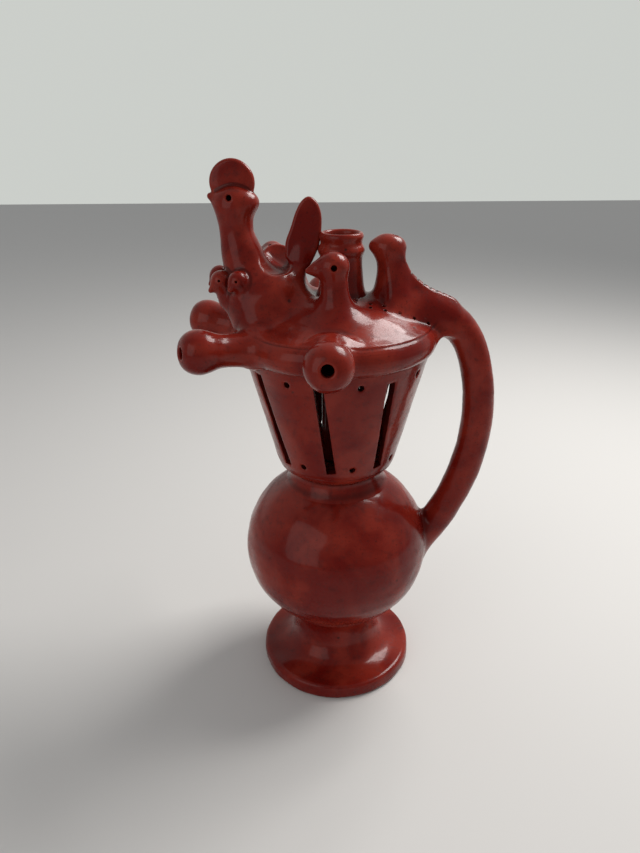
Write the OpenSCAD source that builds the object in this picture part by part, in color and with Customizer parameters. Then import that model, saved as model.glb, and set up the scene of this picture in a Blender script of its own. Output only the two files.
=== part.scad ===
// Puzzle jug with birds: a foot, a round belly, an openwork collar and a closed
// chamber that carries the nozzles, the birds, the filler and the hollow handle.
// Millimetres, +Z up, origin in the middle of the foot's underside.
// +X points to the handle, -X to the large bird.

/* [Foot] */
// Radius of the foot at its widest
foot_r = 44.8; // [42:0.2:48]
// Height of the foot's thick edge
foot_edge_h = 8.4; // [7:0.2:10]
// Roundness of the foot's edge
foot_edge_round = 2.2; // [1:0.2:3]
// Radius of the stem at its waist
stem_r = 22.5; // [19:0.5:25]
// Width and height of the cove between foot and stem
foot_cove = 13; // [9:0.5:15]
// How far the stem flares out under the belly
stem_flare = 4; // [2:0.5:6]

/* [Belly] */
// Radius of the belly
belly_r = 52; // [49:0.5:55]
// Half the height of the belly
belly_half_h = 48.2; // [46:0.2:50]
// Height of the belly's middle above the table
belly_z = 80.7; // [79:0.1:84]
// Thickness of the thrown walls
wall = 4.8; // [4:0.1:5.4]
// Outer radius of the neck on top of the belly
neck_r = 25; // [24:0.5:27]
// Height of that neck
neck_h = 8; // [6:0.5:10]
// How far the neck draws in at its middle
neck_waist = 1.2; // [0.4:0.2:2]

/* [Openwork collar] */
// Outer radius of the collar at its bottom
collar_bottom_r = 31.8; // [30:0.2:34]
// Outer radius of the collar at its top
collar_top_r = 47.6; // [46:0.2:49]
// Height of the collar's wall
collar_h = 61.5; // [56:0.5:66]
// Thickness of the collar's wall
collar_wall = 4.5; // [3.8:0.1:5]
// Thickness of the floor under the collar
floor_t = 5; // [4:0.2:6]
// Number of slots round the collar
slot_count = 8; // [6:1:9]
// Width of a slot
slot_w = 4.8; // [3.6:0.1:5.4]
// Bare band above and below each slot
slot_margin = 5.2; // [4.5:0.1:9]
// Lean of a slot from upright, in degrees
slot_lean = 4.5; // [0:0.5:6]
// Bearing of the first slot, in degrees
slot_bearing = -98; // [-120:1:-80]
// Diameter of the round holes between the slots
pinhole_d = 3.2; // [2.4:0.2:4]
// Distance of the round holes from the collar's ends
pinhole_margin = 6; // [5:0.5:8]

/* [Chamber] */
// Radius of the chamber's shoulder
shoulder_r = 51.3; // [50:0.1:53]
// Rounding of the shoulder
shoulder_round = 8; // [7:0.2:9]
// Height of the shoulder's middle above the collar
shoulder_rise = 6.5; // [6:0.1:8]
// Width of the step where the chamber overhangs the collar
step_w = 1.2; // [0.6:0.1:1.6]
// Radius of the crown's curve
crown_r = 178; // [150:1:220]
// Steepness of the crown where it leaves the shoulder, in degrees
crown_angle = 30; // [27:1:32]
// Radius of the flat seat of the filler
seat_r = 15.4; // [15:0.1:17]
// Thickness of the chamber's floor
chamber_floor_t = 2.8; // [2.4:0.1:3]

/* [Filler] */
// Offset of the filler from the jug's axis, towards the handle
filler_x = 2.4; // [0:0.1:2.8]
// Radius of the filler's bore
filler_bore_r = 8; // [7:0.1:8.6]
// Outer radius of the filler's body
filler_r = 10.5; // [10.2:0.1:11]
// Height of the filler above the chamber
filler_h = 30; // [26:0.5:34]
// Wall of the tube that runs down from the filler
tube_wall = 2.2; // [1.8:0.1:2.4]

/* [Nozzles] */
// Radius of a nozzle's bulb
bulb_r = 10.8; // [10:0.1:12]
// Radius of a nozzle's neck
nozzle_neck_r = 7.8; // [7:0.1:8.4]
// Radius of a nozzle's bore
nozzle_bore_r = 2.7; // [2.2:0.1:3.2]
// Distance of the front and back bulbs' middles from the jug's axis
front_reach = 70.5; // [69:0.1:72]
// Height of the front and back bulbs' middles above the collar
front_rise = 13.3; // [12:0.1:14]
// Upward tilt of the front and back nozzles, in degrees
front_tilt = 10; // [8:1:12]
// Distance of the two left bulbs' middles from the jug's axis
left_reach = 72.7; // [71:0.1:74]
// Height of the two left bulbs' middles above the collar
left_rise = 9; // [8.6:0.1:10]
// Upward tilt of the two left nozzles, in degrees
left_tilt = 6; // [5:1:8]
// Length of the neck, from the bulb's middle to its root
nozzle_neck_l = 34; // [32:0.5:36]
// Bearing of the front nozzle, in degrees
front_bearing = -92.5; // [-96:0.5:-88]
// Bearing of the left nozzle, in degrees
left_bearing = -150; // [-154:0.5:-146]
// Bearing of the left rear nozzle, in degrees
left_rear_bearing = 162; // [160:0.5:166]
// Bearing of the back nozzle, in degrees
back_bearing = 96; // [92:0.5:100]

/* [Birds] */
// Place of the large bird's neck, from the jug's axis
hen_x = -48; // [-49:0.1:-46.5]
// Radius of the large bird's neck
hen_neck_r = 7.9; // [7:0.1:8.6]
// Height of the large bird's head above the chamber's seat
hen_h = 51; // [48:0.5:55]
// Height of the large bird's back above the chamber's seat
back_h = 16; // [14:0.5:19]
// Half the width of the large bird's body, at its root
hen_half_w = 22; // [20:0.5:24]
// Radius of the large bird's comb
comb_r = 10.6; // [9.6:0.1:12]
// Thickness of the comb
comb_t = 4.2; // [3:0.2:5]
// Width of the large bird's tail
tail_w = 17; // [14:0.5:19]
// Length of the large bird's tail
tail_l = 33; // [30:0.5:36]
// Height of the tail's tip above the large bird's back
tail_rise = 29; // [26:0.5:32]
// Thickness of the tail
tail_t = 4.6; // [3:0.2:6]
// Radius of a small bird's neck
bird_neck_r = 6.5; // [5.6:0.1:7]
// Length of a small bird's head, with its beak
bird_head_l = 19.8; // [17:0.2:22]
// Height of the front bird above the chamber's seat
front_bird_h = 23.5; // [21:0.5:26]
// Place of the front bird, from the jug's axis towards the handle
front_bird_x = -1; // [-2:0.5:1]
// Place of the front bird, from the jug's axis towards the front
front_bird_y = -21.4; // [-23:0.1:-20.5]
// Height of the far bird above the chamber's seat
far_bird_h = 21.5; // [20:0.5:26]
// Place of the far bird, from the jug's axis towards the large bird
far_bird_x = -33.5; // [-35:0.5:-32]
// Place of the far bird, from the jug's axis towards the back
far_bird_y = 25.5; // [24:0.5:28]
// Height of the rear bird above the chamber's seat
rear_bird_h = 28.5; // [26:0.5:31]
// Place of the rear bird, from the jug's axis towards the handle
rear_bird_x = 26.6; // [25.5:0.1:28]
// Radius of a chick's head
chick_r = 4.7; // [4:0.1:5]
// Radius of the bores inside the birds
bird_bore_r = 1.7; // [1.2:0.1:2]

/* [Handle] */
// Radius of the handle's strand
handle_r = 8.3; // [7.6:0.1:8.8]
// Radius of the passage inside the handle
handle_bore_r = 4.2; // [3:0.1:4.6]
// Distance of the handle's middle line from the jug's axis, at its widest
handle_reach = 75.7; // [73:0.1:78]
// Height of the handle's widest point above the table
handle_z = 162; // [158:0.5:166]
// Radius of the handle's lower curve
lower_bend_r = 130; // [120:1:140]
// Sweep of the lower curve, in degrees
lower_sweep = 43; // [42:0.5:46]
// Radius of the handle's upper curve
upper_bend_r = 100; // [90:1:110]
// Sweep of the upper curve, in degrees
upper_sweep = 21; // [19:0.5:23]
// Radius of the bend at the handle's top
top_bend_r = 30.5; // [28:0.5:33]
// Sweep of the handle's end past its top, under the rear bird, in degrees
end_sweep = 30; // [26:1:34]
// Width of the toothed crest behind the rear bird
crest_w = 6; // [4:0.2:8]
// Height of the crest above the handle's back
crest_h = 1.6; // [1.2:0.1:2.4]
// Number of teeth on the crest
tooth_count = 7; // [5:1:9]
// Depth of a tooth
tooth_depth = 1; // [0.6:0.1:1.4]

/* [Hidden] */
$fn = 48;

// Colours of the glazed clay, a little apart so that the pieces can be told
glaze = [0.42, 0.13, 0.10];
glaze_dark = [0.36, 0.10, 0.08];
glaze_light = [0.50, 0.18, 0.14];

// Heights of the joints, from the table up
stem_top_r = stem_r + stem_flare;
neck_z = belly_z + belly_half_h * sin(acos(neck_r / belly_r));
floor_z = neck_z + neck_h;
collar_z = floor_z + floor_t;
chamber_z = collar_z + collar_h;
shoulder_z = chamber_z + shoulder_rise;
shoulder_x = shoulder_r - shoulder_round;
crown_start = 90 - crown_angle;
crown_cx = shoulder_x + (shoulder_round - crown_r) * cos(crown_start);
crown_cz = shoulder_z + (shoulder_round - crown_r) * sin(crown_start);
seat_z = crown_cz + crown_r * sin(acos((seat_r - crown_cx) / crown_r));
tube_r = filler_bore_r + tube_wall;
chamber_inner_r = shoulder_r - wall;
eye_depth = 6.5;
far_eye_depth = 3.9;
top_bend_x = handle_reach - upper_bend_r + (upper_bend_r - top_bend_r) * cos(upper_sweep);
top_bend_z = handle_z + (upper_bend_r - top_bend_r) * sin(upper_sweep);

// Places of the nozzles: [bearing, reach, rise, tilt]
front_place = [front_bearing, front_reach, front_rise, front_tilt];
left_place = [left_bearing, left_reach, left_rise, left_tilt];
left_rear_place = [left_rear_bearing, left_reach, left_rise, left_tilt];
back_place = [back_bearing, front_reach, front_rise, front_tilt];

// Points of an elliptic arc round (cx, cz), from angle a to angle b
function arc(cx, cz, rx, rz, a, b, n) =
    [for (i = [0:n]) let (t = a + (b - a) * i / n) [cx + rx * cos(t), cz + rz * sin(t)]];

// Points of a hollow curve that runs from level to upright, w wide and h high
function cove(r, z, w, h, n) =
    [for (i = [0:n]) let (t = 90 * i / n) [r + w * (1 - sin(t)), z + h * (1 - cos(t))]];

function reversed(list) = [for (i = [len(list) - 1:-1:0]) list[i]];

// The belly's outer curve, from its underside to the neck; the foot shares its first part
stem_angle = -acos(stem_top_r / belly_r);
function belly_underside() = arc(0, belly_z, belly_r, belly_half_h, -90, stem_angle, 5);
function belly_side() = arc(0, belly_z, belly_r, belly_half_h, stem_angle, acos(neck_r / belly_r), 24);

// Wheel-thrown foot: a thick disc with a hollow-curved stem
module foot() {
    stem_top_z = belly_z + belly_half_h * sin(stem_angle);
    color(glaze_dark) rotate_extrude()
        polygon(concat(
            [[0, 0], [foot_r - foot_edge_round, 0]],
            arc(foot_r - foot_edge_round, foot_edge_round * 1.6, foot_edge_round,
                foot_edge_round * 1.6, -60, 0, 3),
            arc(foot_r - foot_edge_round, foot_edge_h - foot_edge_round,
                foot_edge_round, foot_edge_round, 0, 80, 4),
            cove(stem_r, foot_edge_h + 1, foot_cove, foot_cove, 8),
            reversed(cove(stem_r, stem_top_z, stem_flare, -stem_flare, 4)),
            reversed(belly_underside())));
}

// The round belly, open at its neck
module belly_solid() {
    rotate_extrude()
        polygon(concat(belly_underside(), belly_side(), [[0, neck_z]]));
}

module belly() {
    inner_top = acos((neck_r - wall) / (belly_r - wall));
    color(glaze) difference() {
        rotate_extrude()
            polygon(concat(
                belly_underside(),
                belly_side(),
                [[neck_r - wall, neck_z]],
                arc(0, belly_z, belly_r - wall, belly_half_h - wall, inner_top, -90, 24)));
        belly_port();
    }
}

// Short neck that joins the belly to the collar
module belly_neck() {
    color(glaze_dark) rotate_extrude()
        polygon([[neck_r - wall, neck_z], [neck_r, neck_z],
                 [neck_r - neck_waist, neck_z + neck_h * 0.3],
                 [neck_r - neck_waist, neck_z + neck_h * 0.5],
                 [neck_r - neck_waist / 3, neck_z + neck_h * 0.7],
                 [neck_r, floor_z], [neck_r - wall, floor_z]]);
}

// Floor that closes the belly and carries the collar
module collar_floor() {
    lip = 1.4;
    color(glaze) difference() {
        rotate_extrude()
            polygon([[0, floor_z], [neck_r, floor_z],
                     [collar_bottom_r, collar_z - lip], [collar_bottom_r, collar_z], [0, collar_z]]);
        translate([filler_x, 0, floor_z - 1]) cylinder(r = filler_bore_r, h = floor_t + 2);
    }
}

module collar_solid() {
    rotate_extrude()
        polygon([[0, collar_z], [collar_bottom_r, collar_z], [collar_top_r, chamber_z], [0, chamber_z]]);
}

// Cone wall with upright slots and a pair of round holes between each two slots
module openwork_collar() {
    cone_angle = atan((collar_top_r - collar_bottom_r) / collar_h);
    slot_l = (collar_h - 2 * slot_margin) / cos(cone_angle);
    step = 360 / slot_count;
    mid_r = (collar_bottom_r + collar_top_r - collar_wall) / 2;
    color(glaze) difference() {
        translate([0, 0, collar_z]) rotate_extrude()
            polygon([[collar_bottom_r - collar_wall, 0], [collar_bottom_r, 0],
                     [collar_top_r, collar_h], [collar_top_r - collar_wall, collar_h]]);
        for (i = [0:slot_count - 1]) {
            rotate([0, 0, slot_bearing + i * step])
                translate([mid_r, 0, collar_z + collar_h / 2])
                rotate([slot_lean, cone_angle, 0])
                cube([collar_wall * 3, slot_w, slot_l], center = true);
            for (z = [pinhole_margin, collar_h - pinhole_margin])
                rotate([0, 0, slot_bearing + (i + 0.5) * step])
                    translate([0, 0, collar_z + z])
                    rotate([0, 90, 0])
                    cylinder(d = pinhole_d, h = collar_top_r + 2);
        }
    }
}

// Straight tube from the filler down through the collar into the belly
module filler_tube() {
    color(glaze_light) translate([filler_x, 0, collar_z]) difference() {
        cylinder(r = tube_r, h = seat_z - collar_z);
        translate([0, 0, -1]) cylinder(r = filler_bore_r, h = seat_z - collar_z + 2);
    }
}

// Flat floor of the closed chamber
module chamber_floor() {
    color(glaze_dark) difference() {
        translate([0, 0, chamber_z]) cylinder(r = chamber_inner_r, h = chamber_floor_t);
        translate([filler_x, 0, chamber_z - 1]) cylinder(r = tube_r, h = chamber_floor_t + 2);
    }
}

// Outer curve of the chamber, from the step over the collar to the filler's seat
function dome_curve() = concat(
    [[collar_top_r + step_w, chamber_z]],
    arc(shoulder_x, shoulder_z, shoulder_round, shoulder_round, -36, crown_start, 8),
    arc(crown_cx, crown_cz, crown_r, crown_r, crown_start + 0.001,
        acos((seat_r - crown_cx) / crown_r), 6));

module dome_solid() {
    rotate_extrude() polygon(concat([[0, chamber_z]], dome_curve(), [[0, seat_z]]));
}

// Domed shell of the chamber, with a port to each hollow piece that it carries
module chamber_dome() {
    inner_crown_r = crown_r - wall;
    color(glaze) difference() {
        rotate_extrude()
            polygon(concat(
                dome_curve(),
                [[0, seat_z], [0, seat_z - wall]],
                arc(crown_cx, crown_cz, inner_crown_r, inner_crown_r,
                    asin((seat_z - wall - crown_cz) / inner_crown_r), crown_start + 0.001, 6),
                arc(shoulder_x, shoulder_z, shoulder_round - wall, shoulder_round - wall,
                    crown_start, 0, 4),
                [[chamber_inner_r, chamber_z]]));
        translate([filler_x, 0, chamber_z]) cylinder(r = tube_r, h = 2 * wall + seat_z - chamber_z);
        for (place = [front_place, left_place, left_rear_place, back_place])
            nozzle_place(place) nozzle_bore();
        hen_bore();
        front_bird_place() bird_passage(0);
        far_bird_place() bird_passage(0);
        rear_bird_bore();
        handle_port();
    }
}

// Filler with a rolled rim, standing on its flat seat
module filler_solid() {
    h = filler_h;
    translate([filler_x, 0, seat_z]) rotate_extrude()
        polygon(concat(
            [[0, 0], [filler_r + 1.9, 0]],
            arc(filler_r + 1.9, h * 0.16, 1, h * 0.16, 240, 180, 4),
            [[filler_r, h * 0.4], [filler_r - 0.1, h * 0.56]],
            arc(filler_r - 0.1, h * 0.68, 1.1, h * 0.1, -80, 80, 5),
            [[filler_r - 0.5, h * 0.81], [filler_r - 0.5, h * 0.85]],
            arc(filler_r - 1, h * 0.93, 1.3, h * 0.07, -60, 90, 6),
            [[0, h]]));
}

module filler_neck() {
    color(glaze) difference() {
        filler_solid();
        translate([filler_x, 0, seat_z - 1]) cylinder(r = filler_bore_r, h = filler_h + 2);
    }
}

// Puts its child, which points along +X, where a nozzle goes
module nozzle_place(place) {
    rotate([0, 0, place[0]])
        translate([place[1], 0, chamber_z + place[2]])
        rotate([0, -place[3], 0])
        children();
}

module nozzle_bore() {
    translate([-nozzle_neck_l - 8, 0, 0]) rotate([0, 90, 0])
        cylinder(r = nozzle_bore_r, h = nozzle_neck_l + bulb_r + 12);
}

// A bulb on a neck that widens to its root
module nozzle_solid() {
    bulb_end = acos((nozzle_neck_r + 0.4) / bulb_r);
    tip_flat = 5;
    root_depth = 7;
    root_flare = 4.5;
    rotate([0, 90, 0]) rotate_extrude()
        polygon(concat(
            [[0, -nozzle_neck_l], [nozzle_neck_r + root_flare, -nozzle_neck_l]],
            cove(nozzle_neck_r, -nozzle_neck_l + root_depth, root_flare, root_flare * 2.4, 6),
            arc(0, 0, bulb_r, bulb_r, -bulb_end, 90 - asin(tip_flat / bulb_r), 14),
            [[0, sqrt(pow(bulb_r, 2) - pow(tip_flat, 2)) + 0.3]]));
}

module nozzle(place) {
    difference() {
        nozzle_place(place) difference() {
            nozzle_solid();
            nozzle_bore();
        }
        dome_solid();
        collar_solid();
    }
}

module front_nozzle() { color(glaze_light) nozzle(front_place); }
module left_nozzle() { color(glaze_light) nozzle(left_place); }
module left_rear_nozzle() { color(glaze_light) nozzle(left_rear_place); }
module back_nozzle() { color(glaze_light) nozzle(back_place); }

// One ring of a modelled figure: [height, left, right, half width, pinch towards the left]
function ring(s, n) =
    let (xc = (s[1] + s[2]) / 2, a = (s[2] - s[1]) / 2)
    [for (i = [0:n - 1]) let (t = 360 * i / n)
        [xc + a * cos(t), s[3] * sin(t) * (1 - s[4] * (1 - cos(t)) / 2), s[0]]];

// Faces that close m rings of n points, which run anticlockwise about the way they are stacked
function skin_faces(m, n) = concat(
    [[for (i = [0:n - 1]) i]],
    [[for (i = [n - 1:-1:0]) (m - 1) * n + i]],
    [for (k = [0:m - 2], i = [0:n - 1]) [k * n + i, (k + 1) * n + i, (k + 1) * n + (i + 1) % n]],
    [for (k = [0:m - 2], i = [0:n - 1]) [k * n + i, (k + 1) * n + (i + 1) % n, k * n + (i + 1) % n]]);

// A figure lofted through its rings, from the bottom up
module loft(stations, n) {
    polyhedron(points = [for (s = stations) each ring(s, n)], faces = skin_faces(len(stations), n));
}

// The large bird: broad body on the chamber, saddle back, upright neck, beaked head
hen_top_z = seat_z + hen_h;
back_z = seat_z + back_h;
module hen_solid() {
    r = hen_neck_r;
    rise = hen_top_z - back_z;
    loft([
        [chamber_z + 4, hen_x + 2, -14, hen_half_w, 0],
        [seat_z - 13, hen_x - 5, -14, hen_half_w, 0],
        [seat_z - 6, hen_x - 7, -15.5, hen_half_w - 2.5, 0],
        [seat_z + 1, hen_x - 7.5, -17.5, hen_half_w - 5, 0],
        [back_z - 8, hen_x - 7.6, -18.5, hen_half_w - 7, 0],
        [back_z - 2.5, hen_x - 7.6, -19.5, hen_half_w - 9, 0],
        [back_z, hen_x - 7.6, -23, r + 3, 0],
        [back_z + rise * 0.07, hen_x - 7.7, -32.5, r + 1.4, 0],
        [back_z + rise * 0.18, hen_x - r, hen_x + r + 3, r + 0.6, 0],
        [back_z + rise * 0.33, hen_x - r, hen_x + r + 0.8, r, 0],
        [back_z + rise * 0.47, hen_x - r - 0.3, hen_x + r, r - 0.1, 0],
        [back_z + rise * 0.62, hen_x - r - 1.4, hen_x + r + 0.6, r - 0.2, 0.1],
        [back_z + rise * 0.74, hen_x - r - 3.2, hen_x + r + 2, r, 0.35],
        [back_z + rise * 0.83, hen_x - r - 5.2, hen_x + r + 2.8, r, 0.6],
        [back_z + rise * 0.9, hen_x - r - 5.6, hen_x + r + 2.8, r - 0.4, 0.7],
        [back_z + rise * 0.96, hen_x - r - 3, hen_x + r + 1.4, r - 2.2, 0.5],
        [hen_top_z, hen_x - r + 2, hen_x + r - 1, r - 5, 0.2]
    ], 20);
}

// Passage from the chamber to the large bird's eyes
module hen_bore() {
    eye_z = hen_top_z - 4.4;
    run = eye_z - chamber_z - chamber_floor_t - 1;
    shift = 10;
    translate([hen_x - 0.6, 0, eye_z]) {
        rotate([0, 180 - atan(shift / run), 0]) translate([0, 0, -1])
            cylinder(r = bird_bore_r, h = sqrt(run * run + shift * shift) + 1);
        rotate([90, 0, 0]) cylinder(r = bird_bore_r, h = 24, center = true);
    }
}

module large_bird() {
    color(glaze_dark) difference() {
        hen_solid();
        dome_solid();
        hen_bore();
        nozzle_place(left_place) nozzle_solid();
        nozzle_place(left_rear_place) nozzle_solid();
    }
}

// Round comb, upright along the middle of the head
module large_bird_comb() {
    color(glaze) difference() {
        translate([hen_x - 1.2, 0, hen_top_z + 1.6]) rotate([90, 0, 0])
            cylinder(r = comb_r, h = comb_t, center = true);
        hen_solid();
        hen_bore();
    }
}

// Leaf-shaped tail, upright behind the saddle
module large_bird_tail() {
    lean = 17;
    leaf_x = -15.8;
    leaf_y = 3;
    half = tail_l / 2;
    color(glaze) difference() {
        translate([leaf_x, leaf_y, back_z + tail_rise - half]) rotate([90, lean, 0])
            linear_extrude(tail_t, center = true)
            polygon([for (i = [0:31]) let (t = 360 * i / 32)
                [tail_w / 2 * cos(t) * (1 + 0.12 * sin(t)), half * sin(t)]]);
        hen_solid();
        dome_solid();
        filler_solid();
    }
}

// A chick's head with its beak towards -X
module chick_solid() {
    r = chick_r;
    loft([
        [-r * 1.5, -r * 0.5, r * 0.9, r * 0.7, 0],
        [-r * 0.9, -r * 1.0, r, r * 0.9, 0.2],
        [-r * 0.35, -r * 1.45, r, r, 0.6],
        [r * 0.2, -r * 1.2, r, r, 0.5],
        [r * 0.7, -r * 0.7, r * 0.75, r * 0.7, 0.2],
        [r, -r * 0.2, r * 0.3, r * 0.25, 0]
    ], 14);
}

// Places of the chicks round the breast: [bearing, x, y]
chick_z = seat_z + 8;
chicks = [[55, hen_x + 1.5, -14.2], [18, hen_x - 7.6, -8], [-8, hen_x - 9.6, 5.6]];

module chick_place(c) {
    translate([c[1], c[2], chick_z]) rotate([0, 0, c[0]]) children();
}

module chick_front() {
    color(glaze_light) difference() {
        chick_place(chicks[0]) chick_solid();
        hen_solid();
    }
}

module chick_middle() {
    color(glaze) difference() {
        chick_place(chicks[1]) chick_solid();
        hen_solid();
        chick_place(chicks[0]) chick_solid();
        chick_place(chicks[2]) chick_solid();
    }
}

module chick_rear() {
    color(glaze_light) difference() {
        chick_place(chicks[2]) chick_solid();
        hen_solid();
    }
}

// A small bird, as high as h above its own origin, with its beak towards -X
module bird_solid(h) {
    r = bird_neck_r;
    beak = bird_head_l - r - 0.6;
    loft([
        [h - 40, -r - 4, r + 4, r + 4, 0],
        [h - 31, -r - 3, r + 3.6, r + 3.4, 0],
        [h - 26.5, -r - 0.8, r + 1.8, r + 1.6, 0],
        [h - 21, -r, r + 0.6, r + 0.4, 0],
        [h - 14, -r, r - 0.2, r, 0],
        [h - 11, -r - 1.2, r - 0.2, r, 0.1],
        [h - 8.6, -beak, r + 0.2, r, 0.6],
        [h - 6.5, -beak + 0.6, r + 0.5, r - 0.1, 0.7],
        [h - 3.8, -r - 2.5, r, r - 1, 0.5],
        [h - 1.6, -r - 0.2, r - 1.4, r - 2.6, 0.3],
        [h, -r + 3.6, r - 3.6, r - 5, 0]
    ], 16);
}

// The far bird: a small head on a broad body that closes the saddle's far side
module far_bird_solid() {
    r = bird_neck_r;
    h = far_bird_h;
    loft([
        [h - 40, -r - 5, r + 6, r + 2.5, 0],
        [h - 24, -r - 5, r + 6, r + 2.5, 0],
        [h - 15, -r - 4.5, r + 6, r + 2.2, 0],
        [h - 9.5, -r - 3, r + 5.4, r + 1.4, 0],
        [h - 6, -r - 1.4, r + 4, r, 0.1],
        [h - 4, -r + 0.6, r + 1.4, r - 1.8, 0.2],
        [h - 2.4, -r + 1.6, r - 1.6, r - 2.8, 0.3],
        [h - 0.8, -r + 2.6, r - 2.8, r - 3.8, 0.2],
        [h, -r + 4.2, r - 4.4, r - 5.2, 0]
    ], 16);
}

// Passage from the chamber up to a height of h in a small bird
module bird_passage(h) {
    rise = 32;
    translate([0, 0, -rise]) cylinder(r = bird_bore_r, h = rise + h);
}

// That passage, and the bore across it between the bird's eyes
module bird_bore(eye_h) {
    bird_passage(eye_h);
    translate([0, 0, eye_h]) rotate([90, 0, 0]) cylinder(r = bird_bore_r, h = 24, center = true);
}

module front_bird_place() { translate([front_bird_x, front_bird_y, seat_z]) children(); }
module far_bird_place() { translate([far_bird_x, far_bird_y, seat_z]) children(); }

module front_bird() {
    color(glaze_light) difference() {
        front_bird_place() difference() {
            bird_solid(front_bird_h);
            bird_bore(front_bird_h - eye_depth);
        }
        dome_solid();
        filler_solid();
    }
}

module far_bird() {
    color(glaze_light) difference() {
        far_bird_place() difference() {
            far_bird_solid();
            bird_bore(far_bird_h - far_eye_depth);
        }
        dome_solid();
        hen_solid();
        nozzle_place(left_rear_place) nozzle_solid();
    }
}

// Rear bird: a round head on a neck whose back runs down to the handle
module rear_bird_solid() {
    r = bird_neck_r;
    h = rear_bird_h;
    translate([rear_bird_x, 0, seat_z]) loft([
        [-24, -r - 4, r + 7, r + 5, 0],
        [-4, -r - 3.8, r + 7, r + 4.6, 0],
        [0.5, -r - 3, r + 6.2, r + 3.6, 0],
        [4.5, -r - 1.2, r + 4, r + 2, 0],
        [10.5, -r - 0.1, r + 1.8, r + 0.4, 0],
        [16, -r - 0.4, r - 0.2, r, 0],
        [20, -r - 2.4, r - 0.2, r + 0.3, 0.2],
        [23, -r - 3.4, r + 0.4, r + 0.6, 0.3],
        [h - 2.8, -r - 1.6, r, r - 0.6, 0.2],
        [h - 1, -r + 1, r - 1.6, r - 2.6, 0],
        [h, -r + 3.6, r - 3.6, r - 4.6, 0]
    ], 16);
}

module rear_bird_bore() {
    translate([rear_bird_x + 1.2, 0, seat_z - 16]) cylinder(r = bird_bore_r, h = rear_bird_h + 18);
}

module rear_bird() {
    color(glaze_light) difference() {
        rear_bird_solid();
        dome_solid();
        filler_solid();
        handle_solid();
        rear_bird_bore();
    }
}

// Ridge with teeth, from the rear bird's neck down to the top of the handle
crest_start = [rear_bird_x + bird_neck_r - 0.5, seat_z + 15.8];
crest_landing = 76;
crest_end = 62;
crest_free_share = 0.7;
crest_sag = 4.7;
first_tooth = 0.12;
function on_handle(a, lift) =
    [top_bend_x, top_bend_z] + (top_bend_r + handle_r + lift) * [cos(a), sin(a)];
crest_foot = on_handle(crest_landing, crest_h);
crest_middle = [(crest_start[0] + crest_foot[0]) / 2, crest_foot[1] + crest_sag];
function crest_point(t) =
    t > crest_free_share
    ? on_handle(crest_landing + (crest_end - crest_landing) * (t - crest_free_share)
                / (1 - crest_free_share), crest_h)
    : let (u = t / crest_free_share)
      crest_start * pow(1 - u, 2) + crest_middle * 2 * u * (1 - u)
      + crest_foot * u * u;

module toothed_crest() {
    teeth = [for (i = [0:2 * tooth_count])
        let (t = first_tooth + (1 - first_tooth) * i / (2 * tooth_count))
        crest_point(t) - [0, (i % 2) * tooth_depth]];
    // The underside runs inside the handle, along its middle line
    sunk = [for (a = [crest_end, crest_landing, 90, 90 + end_sweep]) on_handle(a, -handle_r)];
    color(glaze) difference() {
        rotate([90, 0, 0]) linear_extrude(crest_w, center = true)
            polygon(concat([crest_start - [4, 0], crest_start], teeth, sunk));
        dome_solid();
        rear_bird_solid();
        handle_solid();
    }
}

// The handle's path as [x, z, angle of its outward side]: three bends, each leaving where the
// last one ends, from inside the belly up to the chamber's crown
function bend(cx, cz, radius, a, b, n) =
    [for (i = [0:n - 1]) let (t = a + (b - a) * i / n)
        [cx + radius * cos(t), cz + radius * sin(t), t]];
function handle_path() = concat(
    bend(handle_reach - lower_bend_r, handle_z, lower_bend_r, -lower_sweep, 0, 12),
    bend(handle_reach - upper_bend_r, handle_z, upper_bend_r, 0, upper_sweep, 4),
    bend(top_bend_x, top_bend_z, top_bend_r, upper_sweep, 90 + end_sweep, 10),
    bend(top_bend_x, top_bend_z, top_bend_r, 90 + end_sweep, 91 + end_sweep, 1));

// A round strand along the handle's path
module handle_strand(r, n) {
    path = handle_path();
    polyhedron(
        points = [for (p = path, j = [0:n - 1]) let (t = 360 * j / n)
            [p[0] + r * cos(t) * cos(p[2]), r * sin(t), p[1] + r * cos(t) * sin(p[2])]],
        faces = skin_faces(len(path), n));
}

module handle_solid() { handle_strand(handle_r, 20); }

// Port through the belly's wall, in line with the passage inside the handle
module belly_port() {
    start = handle_path()[0];
    translate([start[0], 0, start[1]]) rotate([0, -start[2], 0]) translate([0, 0, -3 * wall])
        cylinder(r = handle_bore_r, h = belly_r);
}

// Drop from the handle's passage through the chamber's wall
module handle_port() {
    port_inset = 1.7;
    port_z = chamber_z + chamber_floor_t + 1;
    translate([chamber_inner_r - port_inset, 0, port_z])
        cylinder(r = handle_bore_r - 0.6, h = top_bend_z + top_bend_r + 1 - port_z);
}

// Hollow handle, which carries the liquid from the belly up to the chamber
module handle() {
    color(glaze_dark) difference() {
        handle_solid();
        handle_strand(handle_bore_r, 12);
        handle_port();
        belly_solid();
        // The dome is round, so a half turn only puts its seam away from the handle
        rotate([0, 0, 180]) dome_solid();
    }
}

foot();
belly();
belly_neck();
collar_floor();
openwork_collar();
filler_tube();
chamber_floor();
chamber_dome();
filler_neck();
front_nozzle();
left_nozzle();
left_rear_nozzle();
back_nozzle();
large_bird();
large_bird_comb();
large_bird_tail();
chick_front();
chick_middle();
chick_rear();
front_bird();
far_bird();
rear_bird();
toothed_crest();
handle();
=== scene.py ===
import math
from collections import namedtuple
from functools import partial
from itertools import product

import bpy
import numpy as np
from mathutils import Matrix, Vector


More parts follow.
